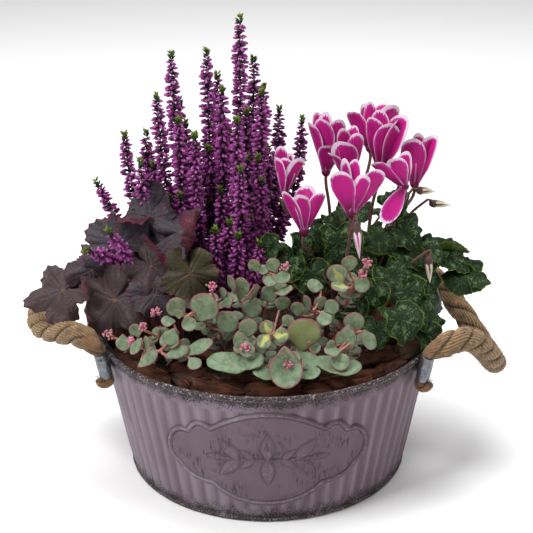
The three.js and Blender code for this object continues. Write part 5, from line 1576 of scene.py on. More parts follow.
def stalk(foot: Array, seat: Array, radius: float, paint: int, tone: float = 0.6) -> Surface:
    """A stalk that rises from its foot and leans over to its seat, thinner at the top."""
    belly = foot + (seat - foot) * np.array([0.35, 0.35, 0.62])
    path = spline([foot - [0, 0, 8], foot, belly, seat], 26)
    return tube(path, np.linspace(radius, radius * 0.6, 26), 8, paint=paint, tone=np.full(26, tone))


@dataclass
class LeafyPlant:
    """What plants with leaves on stalks share."""

    filling: Filling
    thickness: float = 0.8
    seat_back: float = 0.3           # from the blade's middle to the stalk, as a share of the radius
    seat_under: float = 1.9          # from the blade's middle down to the stalk's end

    def _leaf(self, place: LeafPlace) -> Surface:
        """One blade about its middle."""
        raise NotImplementedError

    def grown(self, root: Point, places: Iterable[LeafPlace]) -> Surface:
        """The leaves of one root, each with a stalk that ends under its blade."""
        foot = np.array([*root, self.filling.soil_level(*root)])
        parts = []
        for place in places:
            _, tip, face = basis = place.basis()
            seat = np.asarray(place.middle) - tip * self.seat_back * place.radius - face * self.seat_under
            parts += [self._leaf(place).placed(place.middle, basis), stalk(foot, seat, 1.5, 2)]
        return Surface.joined(parts)


@dataclass
class Heuchera(LeafyPlant):
    """Lobed, toothed and waved purple leaves on stalks."""

    seat_back: float = 0.12
    seat_under: float = 1.6
    lobes: int = 5
    teeth: int = 27

    plants: tuple[tuple[Point, LeafPlace], ...] = (
        ((-88, -18), LeafPlace((-163, -38, 168), 30, (-1, -0.1, -0.35), (-0.3, -0.75, 0.6), 0.11,
                               ((150, 0.5, 70), (-120, 0.75, -60)))),
        ((-82, -30), LeafPlace((-120, -54, 166), 33, (-0.6, -0.2, -0.7), (-0.2, -0.9, 0.5), 0.32,
                               ((-52, 0.5, 155), (60, 0.62, -70), (165, 0.45, -60)))),
        ((-84, -7), LeafPlace((-116, -28, 203), 31, (-0.75, 0.1, 0.5), (-0.25, -0.8, 0.6), 0.53,
                              ((-75, 0.55, 120), (100, 0.6, -50)))),
        ((-74, -16), LeafPlace((-68, -30, 214), 28, (0.9, -0.1, 0.15), (0.05, -0.65, 0.75), 0.74,
                               ((-18, 0.3, 165), (80, 0.7, -50)))),
        ((-70, -32), LeafPlace((-60, -53, 188), 25, (0.1, -0.3, -0.9), (0.1, -0.9, 0.4), 0.96,
                               ((150, 0.6, -60), (20, 0.75, 40)))),
        ((-88, 28), LeafPlace((-134, 38, 172), 28, (-0.8, 0.6, -0.1), (-0.3, 0.3, 0.9), 0.2,
                              ((70, 0.6, 60),))),
    )
    fillers: tuple[tuple[int, LeafPlace], ...] = (
        (2, LeafPlace((-92, -42, 190), 25, (0.7, -0.4, -0.5), (0.25, -0.8, 0.5), 0.4,
                      ((95, 0.35, 150), (-60, 0.6, -60)))),
        (1, LeafPlace((-88, -54, 170), 22, (0.5, -0.3, -0.8), (0.2, -0.9, 0.4), 0.62,
                      ((80, 0.5, -80), (-90, 0.5, 60)))),
        (3, LeafPlace((-94, -16, 221), 27, (-0.1, 0.5, 0.7), (-0.1, -0.75, 0.6), 0.83,
                      ((-60, 0.5, 100), (60, 0.7, -60)))),
        (0, LeafPlace((-140, -30, 182), 22, (-0.5, 0.2, 0.6), (-0.2, -0.7, 0.7), 0.45,
                      ((0, 0.5, -50), (-90, 0.5, 80)))),
        (5, LeafPlace((-112, 18, 190), 24, (-0.6, 0.7, 0.2), (-0.3, 0.1, 0.95), 0.07, ((0, 0.5, -60),))),
    )

    def _leaf(self, place: LeafPlace) -> Surface:
        """One blade.

        The reach is a pattern of lobes with sharp bays between them, narrowed to a notch at the stalk and
        cut by pointed teeth. The face rises along each lobe's middle and falls to the bays, waves at its
        edge, dips along the veins, and then takes the leaf's folds.
        """
        count = 184
        a = TAU * np.arange(count) / count
        turn = place.form * 9
        uneven = a + 0.14 * np.sin(2 * a + turn)
        deep = 0.26 + 0.17 * (1 - place.form) ** 3
        lobe = 1 - deep + deep * np.abs(np.cos(self.lobes * uneven / 2)) ** 0.8
        tooth = 0.075 * (1 - np.abs((self.teeth * a / TAU + place.form) % 1 - 0.5) * 2) ** 1.4
        notch = 1 - 0.5 * bell(np.minimum(np.abs(a - math.pi), 9), 0, 0.17)
        outline = place.radius * (lobe - 0.03 + tooth) * notch
        outline = outline * (1 + 0.06 * np.cos(a)) * (1 + 0.09 * np.sin(2 * a + turn))
        blade = Blade(outline, 15, self.thickness)
        rho, theta, r = blade.rho, blade.theta, place.radius
        spoke = np.abs(np.sin(self.lobes * theta / 2))
        vein = smoothstep(0.2, 0.04, spoke * rho**0.7) * smoothstep(1.0, 0.75, rho)
        side = np.abs(np.sin(self.lobes * theta * 1.5 + 5 * rho))
        vein = np.maximum(vein, 0.4 * smoothstep(0.16, 0.03, side * rho) * (rho > 0.35))
        flat = np.stack([blade.x, blade.y, 0 * blade.x], axis=-1)
        number = int(place.form * 100)
        lift = (r * (0.05 * rho**1.5 * np.cos(self.lobes * theta) + 0.13 * rho**2 * np.sin(3 * theta + turn)
                     + 0.04 * rho**3 * np.sin(9 * theta + turn) - 0.14 * rho**2) - 0.3 * vein
                + 0.3 * waves(flat, 9, number) * rho + 1.6 * waves(flat, 22, 3 + number) * rho)
        leaf = blade.surface(lift, vein=vein, tone=place.form)
        for towards, start, most in place.folds:
            leaf = folded(leaf, towards, start * r, 0.13 * r if abs(most) > 90 else 0.4 * r, most)
        return leaf

    def build(self, face: Material, under: Material, stem: Material) -> None:
        """Builds each leaf with its stalk in place of its node; fillers share a neighbour's stalk foot."""
        for k, (root, main_leaf) in enumerate(self.plants):
            places = [main_leaf] + [place for owner, place in self.fillers if owner == k]
            plant = self.grown(root, places)
            plant.build(f"heuchera_{k + 1}", [face, under, stem], "heuchera", f"heuchera_leaf_{k + 1}")


@dataclass
class CyclamenLeaves(LeafyPlant):
    """Heart-shaped leaves with crimped scalloped edges, in clusters about the cyclamen."""

    # Each cluster: its root, and a row of its fields for each leaf place.
    clusters: tuple[tuple[Point, tuple[tuple, ...]], ...] = (
        ((36, -22), (
         ((58, -27, 203), 20, (0.1, -0.3, -0.8), (-0.1, -0.8, 0.6), 0.1),
         ((15, -31, 187), 17, (-0.5, -0.3, -0.6), (-0.2, -0.7, 0.7), 0.2),
         ((28, -18, 198), 12, (-0.2, -0.3, -0.8), (0.1, -0.6, 0.8), 0.3),
         ((36, -34, 178), 17, (0.2, -0.5, -0.8), (0.1, -0.85, 0.5), 0.4),
         ((42, -12, 204), 15, (0.5, -0.3, -0.4), (0.1, -0.7, 0.7), 0.5),
         ((6, -24, 198), 12, (-0.5, -0.3, -0.4), (0.0, -0.7, 0.7), 0.6),
         ((42, -8, 185), 15, (-0.2, -0.4, -0.8), (0.1, -0.85, 0.5), 0.7),
         ((59, -2, 207), 14, (-0.4, -0.3, 0.5), (-0.1, -0.6, 0.8), 0.8),
         ((70, -4, 191), 16, (0.3, -0.4, -0.7), (0.0, -0.75, 0.6), 0.9))),
        ((74, -34), (
         ((101, -39, 180), 18, (0.4, -0.5, -0.5), (0.2, -0.8, 0.6), 0.15),
         ((90, -18, 203), 16, (0.7, -0.4, -0.3), (0.1, -0.6, 0.8), 0.25),
         ((84, -52, 170), 14, (-0.3, -0.5, -0.7), (-0.1, -0.8, 0.5), 0.35),
         ((74, -34, 188), 15, (0.1, -0.6, -0.7), (0.1, -0.8, 0.6), 0.45),
         ((66, -58, 160), 15, (-0.1, -0.5, -0.8), (0.0, -0.9, 0.5), 0.55),
         ((93, -14, 180), 17, (0.2, -0.4, -0.8), (0.0, -0.8, 0.5), 0.65),
         ((102, 2, 226), 15, (0.5, -0.2, 0.4), (0.1, -0.7, 0.6), 0.75),
         ((112, -6, 203), 16, (0.6, -0.4, -0.4), (0.1, -0.7, 0.7), 0.85))),
        ((88, -24), (
         ((103, -73, 156), 19, (0.3, -0.6, -0.6), (0.1, -0.7, 0.7), 0.12),
         ((128, -54, 153), 18, (0.6, -0.4, -0.7), (0.5, -0.6, 0.6), 0.22),
         ((110, -10, 190), 19, (0.7, -0.5, -0.4), (0.2, -0.5, 0.85), 0.32),
         ((112, -46, 168), 17, (0.4, -0.5, -0.6), (0.2, -0.8, 0.6), 0.42),
         ((86, -72, 146), 15, (-0.2, -0.6, -0.6), (0.0, -0.8, 0.6), 0.52),
         ((124, -66, 138), 14, (0.5, -0.5, -0.7), (0.3, -0.8, 0.4), 0.62))),
        ((92, 2), (
         ((148, 17, 185), 20, (0.95, 0.05, -0.2), (0.1, -0.3, 0.95), 0.18,
          ((88, 0.2, -70), (-80, 0.25, 120))),
         ((156, 12, 171), 21, (0.97, 0.0, -0.16), (0.1, -0.35, 0.93), 0.28,
          ((80, 0.25, -60), (-86, 0.3, 110))),
         ((162, -1, 165), 21, (0.95, -0.1, -0.25), (0.15, -0.4, 0.9), 0.38,
          ((80, 0.3, -50), (-84, 0.3, -60))),
         ((140, -18, 150), 16, (0.3, -0.2, -0.9), (0.8, -0.4, 0.4), 0.48),
         ((150, 0, 178), 17, (0.85, -0.3, -0.3), (0.1, -0.45, 0.9), 0.58),
         ((126, -20, 172), 18, (0.4, -0.5, -0.6), (0.3, -0.8, 0.5), 0.68),
         ((132, -8, 188), 17, (0.6, -0.5, -0.3), (0.1, -0.7, 0.7), 0.78))),
        ((66, 46), (
         ((104, 62, 196), 20, (0.6, 0.6, -0.3), (0.2, 0.3, 0.9), 0.14),
         ((66, 84, 184), 20, (0.1, 0.9, -0.4), (0, 0.5, 0.85), 0.24),
         ((92, 92, 158), 19, (0.4, 0.8, -0.6), (0.3, 0.7, 0.6), 0.34),
         ((76, 44, 206), 17, (0.2, 0.5, 0.3), (0.1, -0.1, 1), 0.44))),
        ((84, 44), (
         ((132, 62, 170), 20, (0.8, 0.5, -0.4), (0.4, 0.4, 0.8), 0.16),
         ((40, 92, 156), 18, (-0.4, 0.8, -0.5), (-0.1, 0.7, 0.7), 0.26),
         ((116, 82, 146), 17, (0.6, 0.7, -0.5), (0.4, 0.7, 0.6), 0.36),
         ((110, 34, 204), 16, (0.6, 0.3, 0.1), (0.1, -0.2, 1), 0.46))),
    )

    def _leaf(self, place: LeafPlace) -> Surface:
        """One blade: a heart outline with small scallops and a pointed tip.

        It is crimped ever more towards its rim, dips along the veins, and its halves fold up a little about
        the midrib. Then it takes its folds: its own, or one of the tip's end and one of a side.
        """
        count = 140
        a = TAU * np.arange(count) / count
        turn = place.form * 23
        scallop = 0.03 * np.abs(np.sin(17 * a + turn)) + 0.02 * np.sin(3 * a + turn)
        notch = 1 - 0.4 * bell(np.minimum(np.abs(a - math.pi), 9), 0, 0.3)
        near = np.minimum(a, TAU - a)
        point = 0.2 * bell(near, 0, 0.6) + 0.2 * bell(near, 0, 0.22)
        outline = place.radius * (0.93 + scallop) * notch * (1 - 0.05 * np.cos(2 * a) + point)
        blade = Blade(outline, 12, self.thickness)
        rho, theta, r = blade.rho, blade.theta, place.radius
        vein = smoothstep(0.2, 0.03, np.abs(np.sin(3.5 * theta)) * rho**0.8) * smoothstep(1.0, 0.8, rho)
        crimp = (0.1 * np.sin(4 * theta + turn) + 0.07 * np.sin(7 * theta + 2 * turn)) * rho**3
        crimp = crimp + (0.05 * np.sin(13 * theta + turn) + 0.1) * smoothstep(0.72, 1.0, rho)
        flat = np.stack([blade.x, blade.y, 0 * blade.x], axis=-1)
        fold = (0.3 + 0.25 * math.sin(turn)) * np.abs(blade.x) / r
        lift = r * (crimp + fold - 0.3 * rho**2) - 0.25 * vein + 0.7 * waves(flat, 11, int(turn * 10)) * rho
        leaf = blade.surface(lift, vein=vein, tone=place.form)
        folds = place.folds or ((20 * math.sin(turn), 0.45, -60),
                                (75 if turn % 2 > 1 else -80, 0.5,
                                 -75 if place.form * 10 % 3 > 1.4 else 115))
        for towards, start, most in folds:
            leaf = folded(leaf, towards, start * r, (0.33 if abs(towards) > 45 else 0.8) * r, most)
        return leaf

    def build(self, face: Material, under: Material, stem: Material) -> None:
        """Builds each cluster in place of its node."""
        for k, (root, rows) in enumerate(self.clusters):
            cluster = self.grown(root, (LeafPlace(*row) for row in rows))
            cluster.build(f"cyclamen_leaf_cluster_{k + 1}", [face, under, stem], "cyclamen_leaf",
                          f"cyclamen_leaves_{k + 1}")


# ---------- cyclamen blooms and buds ----------

@dataclass(frozen=True)
class Petal:
    """One petal: its way round from the right (-90 is the front), how far it leans out at its foot and
    at its tip, its length and width, how it cups, how it turns about its middle line and how far it
    leans in its own plane, in degrees: more than 0 leans a front petal to the right."""

    azimuth: float
    low: float
    high: float
    length: float
    width: float
    cup: float = 36.0
    twist: float = 8.0
    splay: float = 0.0

    def _edge(self, count: int) -> Array:
        """The flat outline about a point at 0.56 of the length, from the tip down the left side.

        The half width grows by a soft step from a third at the foot to two thirds of the length, and
        past that it closes round the tip by the root of one less a power of the share.
        """
        t = np.sin(np.linspace(0, math.pi / 2, 90))
        t = np.r_[np.linspace(0, 0.9, 60)[:-1], 0.9 + 0.1 * t]
        tip = np.maximum(t - 0.6, 0) / 0.4
        half = (0.34 + 0.66 * smoothstep(-0.05, 0.66, t)) * np.sqrt(np.maximum(1 - tip**2.3, 0))
        left = np.stack([-self.width / 2 * half, self.length * (t - 0.56), 0 * t], axis=1)[::-1]
        right = (left * np.array([-1, 1, 1]))[::-1]
        return spaced(np.concatenate([left, right]), count + 1)[:-1, :2]

    def surface(self, tone: float) -> Surface:
        """The petal with its foot at the origin and the bloom's axis along z.

        The lean grows evenly along the petal, so its middle line is an arc; across, it is an arc too,
        whose ends turn in by the cup, and both turn about the middle line by the twist.
        """
        edge = self._edge(72)
        blade = Blade(edge, 11, 0.55)
        flat = np.stack([blade.x, blade.y], axis=-1)
        margin = np.linalg.norm(flat[:, :, None] - edge[None, None], axis=-1).min(-1)
        along = np.clip(blade.y + 0.56 * self.length, 0, None)
        share = along / self.length
        wave = (0.7 * np.sin(4.2 * share + 0.32 * blade.x + 9 * tone) * blade.rho**2
                * smoothstep(0.3, 0.9, share))
        low, high = math.radians(self.low), math.radians(self.high + 0.01)
        bend = low + (high - low) * share
        pace = (high - low) / self.length
        out = 2.6 * math.sin(min(low + 0.5, 1.5)) + (math.cos(low) - np.cos(bend)) / pace
        up = (np.sin(bend) - math.sin(low)) / pace
        curl = 2 * math.radians(self.cup) / self.width
        across = np.sin(curl * blade.x) / curl
        inward = (1 - np.cos(curl * blade.x)) / curl + wave + blade.wall
        turn = math.radians(self.twist) * (0.3 + share)
        side = across * np.cos(turn) - inward * np.sin(turn)
        inward = across * np.sin(turn) + inward * np.cos(turn)
        radial = out - inward * np.cos(bend)
        height = up + inward * np.sin(bend)
        splay = math.radians(self.splay)
        aside = height * math.sin(splay) - side * math.cos(splay)
        height = height * math.cos(splay) + side * math.sin(splay)
        grid = Surface.grid(np.stack([radial, aside, height], axis=-1), wrap=True, u=blade.x, v=along,
                            edge=margin, share=share, tone=tone)
        return grid.welded()


@dataclass
class Bloom:
    """One bloom: its root, the foot of its petals, the way of its axis and its petals."""

    root: Point
    base: Point
    lean: Point
    petals: tuple[Petal, ...]

    def surface(self, number: int, ground: float) -> Surface:
        """Petals, the cup under them and the stalk."""
        axis = unit(np.asarray(self.lean, float))
        base = np.asarray(self.base, float)
        side = unit(np.array([1.0, 0, 0]) - axis * axis[0])
        frame = np.stack([side, np.cross(axis, side), axis])
        parts = []
        for i, petal in enumerate(self.petals):
            angle = math.radians(petal.azimuth)
            c, s = math.cos(angle), math.sin(angle)
            around = np.array([[c, s, 0], [-s, c, 0], [0, 0, 1]])
            parts.append(petal.surface((0.37 * i + 0.19 * number) % 1).placed(base, around @ frame))
        t = np.linspace(0, 1, 9)
        cup = tube(base + axis * (-3.5 + 6.0 * t[:, None]), 3.9 * np.sin(math.pi * (0.16 + 0.6 * t)), 16,
                   edge=3 + 0 * t, share=0 * t, tone=0 * t)
        foot = np.array([*self.root, ground])
        below = base - axis * 3.2
        belly = foot + (below - foot) * np.array([0.5, 0.5, 0.7])
        path = spline([foot - [0, 0, 8], foot, belly, below - axis * 8, below], 40)
        parts += [cup, tube(path, np.linspace(1.7, 1.35, 40), 9, paint=1, tone=np.full(40, 0.55))]
        return Surface.joined(parts)


BLOOMS: tuple[Bloom, ...] = (
    Bloom((52, 2), (15, -6, 237), (0.03, 0, 1), (
        Petal(-96, 4, 10, 32, 16, splay=2), Petal(-140, 8, 14, 32, 15, splay=-4),
        Petal(-44, 12, 26, 34, 16, 30, splay=10), Petal(110, 4, 8, 39, 13, splay=4),
        Petal(60, 8, 16, 33, 13))),
    Bloom((50, -12), (30, -26, 212), (0.02, 0, 1), (
        Petal(-122, 14, 22, 39, 14, 30, splay=-18), Petal(-90, 8, 14, 35, 15, 50, 16, -6),
        Petal(-60, 10, 18, 37, 14, 45, 12, 16), Petal(-160, 16, 28, 36, 12, splay=-8),
        Petal(80, 16, 30, 37, 20, 30))),
    Bloom((64, -20), (67, -31, 229), (0.02, 0, 1), (
        Petal(-106, 6, 8, 37, 21, 28, 4, -17), Petal(-74, 8, 12, 35, 15, 55, 16, 14),
        Petal(-52, 10, 16, 41, 21, 32, 8, 33), Petal(102, 6, 8, 44, 10, 50, 8, 7),
        Petal(66, 5, 7, 43, 14))),
    Bloom((58, 24), (50, 31, 243), (-0.02, 0.1, 1), (
        Petal(-140, 12, 16, 45, 15, 40, splay=-8), Petal(-108, 5, 8, 46, 20, 30, splay=-2),
        Petal(-66, 6, 12, 46, 19, 34, 10, 12), Petal(85, 6, 10, 50, 15), Petal(130, 8, 14, 50, 15),
        Petal(-84, 14, 34, 27, 20, 32, 6, 6))),
    Bloom((70, 8), (68, 8, 243), (-0.03, -0.1, 1), (
        Petal(-100, 5, 8, 37, 23, 26, 5, -9), Petal(-62, 6, 8, 43, 16, 55, 20, 6),
        Petal(-150, 20, 34, 30, 17, 45, splay=-12), Petal(60, 8, 14, 45, 17), Petal(135, 6, 12, 44, 17))),
    Bloom((80, 20), (93, 16, 251), (0.02, 0, 1), (
        Petal(-116, 4, 6, 44, 19, 34, 6, -9), Petal(-78, 7, 10, 40, 22, 26, 4, 8),
        Petal(48, 8, 14, 49, 23, 25, 6, -20), Petal(100, 6, 12, 47, 18), Petal(-20, 10, 20, 44, 16))),
    Bloom((74, 36), (88, 54, 256), (0, 0.15, 1), (
        Petal(-102, 2, 4, 40, 13, 30), Petal(-62, 10, 20, 42, 20, 26, 6, 26),
        Petal(-128, 12, 26, 36, 18, 32, 6, -22), Petal(62, 14, 22, 40, 19, splay=-12),
        Petal(125, 8, 14, 38, 14))),
    Bloom((90, 12), (122, 16, 237), (0.1, 0, 1), (
        Petal(-98, 4, 6, 40, 22, 26, 5, -10), Petal(36, 6, 12, 45, 21, 30, 5, -12),
        Petal(-40, 4, 12, 42, 16, 40, 10, 8), Petal(100, 6, 12, 42, 15))),
    Bloom((80, -4), (111, -8, 243), (-0.1, -0.1, 1), (
        Petal(-102, 4, 8, 28, 18, 30, 5, -14), Petal(-130, 16, 26, 32, 15, 40, 10, -44),
        Petal(-106, 104, 140, 38, 16, 24, 4, 38), Petal(60, 10, 20, 28, 15))),
)


class BudColour(Enum):
    """The two looks of a bud: cream-tipped, or striped pink and white."""

    CREAM = "cream"
    STRIPED = "striped"


@dataclass
class Bud:
    """A furled bud on a crooked stalk: its root, the crook and the way it points from there."""

    root: Point
    crook: Point
    point: Point
    length: float
    colour: BudColour

    def surface(self, ground: float) -> Surface:
        """Stalk, dark sepals and the furled petals, whose ridges wind once round towards the tip."""
        way = unit(np.asarray(self.point, float))
        start = np.asarray(self.crook, float)
        foot = np.array([*self.root, ground])
        belly = foot + (start - foot) * np.array([0.5, 0.5, 0.75])
        lift = start - way * 3 + np.array([0, 0, 2.0])
        stem = spline([foot - [0, 0, 8], foot, belly, lift, start + way * 2], 44)
        t = np.linspace(0, 1, 22)
        angle = TAU * np.arange(20)[None, :] / 20
        body = 3.1 * np.sin(math.pi * np.clip(t * 0.93 + 0.04, 0, 1) ** 0.62)[:, None]
        ridged = body * (1 + 0.1 * np.cos(5 * angle + 4 * t[:, None]))
        stripe = np.cos(5 * angle + 4 * t[:, None]) + 0 * ridged
        skin = 2 if self.colour is BudColour.STRIPED else 3
        furled = tube(start + way * (t * self.length)[:, None], ridged, 20, (0.3, 0.9, 0.2), paint=skin,
                      tone=0.5 + 0.5 * stripe, v=t, u=0 * t)
        s = np.linspace(0, 1, 9)
        cup = tube(start + way * (s * self.length * 0.42 - 0.6)[:, None],
                   3.45 * np.sin(math.pi * (0.1 + 0.62 * s) ** 0.8), 14,
                   (0.3, 0.9, 0.2), paint=1, tone=np.full(9, 0.25))
        return Surface.joined([tube(stem, np.linspace(1.5, 1.1, 44), 8, paint=1, tone=np.full(44, 0.5)),
                               cup, furled])


BUDS: tuple[Bud, ...] = (
    Bud((88, 22), (124, 14, 232), (12, 1, -1), 16, BudColour.CREAM),
    Bud((84, 30), (136, 22, 218), (14, -1, -1), 19, BudColour.CREAM),
    Bud((86, -14), (131, -22, 188), (1, -2, -14), 22, BudColour.CREAM),
    Bud((58, -34), (70, -48, 228), (2, -2, -20), 30, BudColour.STRIPED),
)


@dataclass(frozen=True)
class FurledPetal:
    """A furled bud: stripes wind round it, dark at the stalk and pale at the tip."""

    name: str
    dark: Tint
    light: Tint
    tip: Tint

    def material(self) -> Material:
        """Builds the material."""
        s = Shader(self.name)
        v, tone = s.value("v"), s.value("tone")
        fine = s.noise(420, 3)
        stripe = s.band(tone + (fine - 0.5) * 0.5, 0.25, 0.6)
        colour = s.mix(stripe, self.dark, self.light)
        colour = s.mix(s.band(v, 0.45, 0.95), colour, self.tip)
        return s.done(colour, 0.55, s.bump(s.noise(900, 2), 0.12), Sheen_Weight=0.15)


# ---------- sedum ----------

@dataclass
class SedumLeaf:
    """A round fleshy leaf: its middle, radius, tip and face, its shade, and the stripe's strength. A low
    shade paints the leaf deep green: partly its own tone, partly painted shade.
    """

    middle: Point
    radius: float
    tip: Point
    face: Point
    shade: float = 0.7
    stripe: float = 0.0
    long: float = 1.0                # its length against its width
    cup: float = 0.22


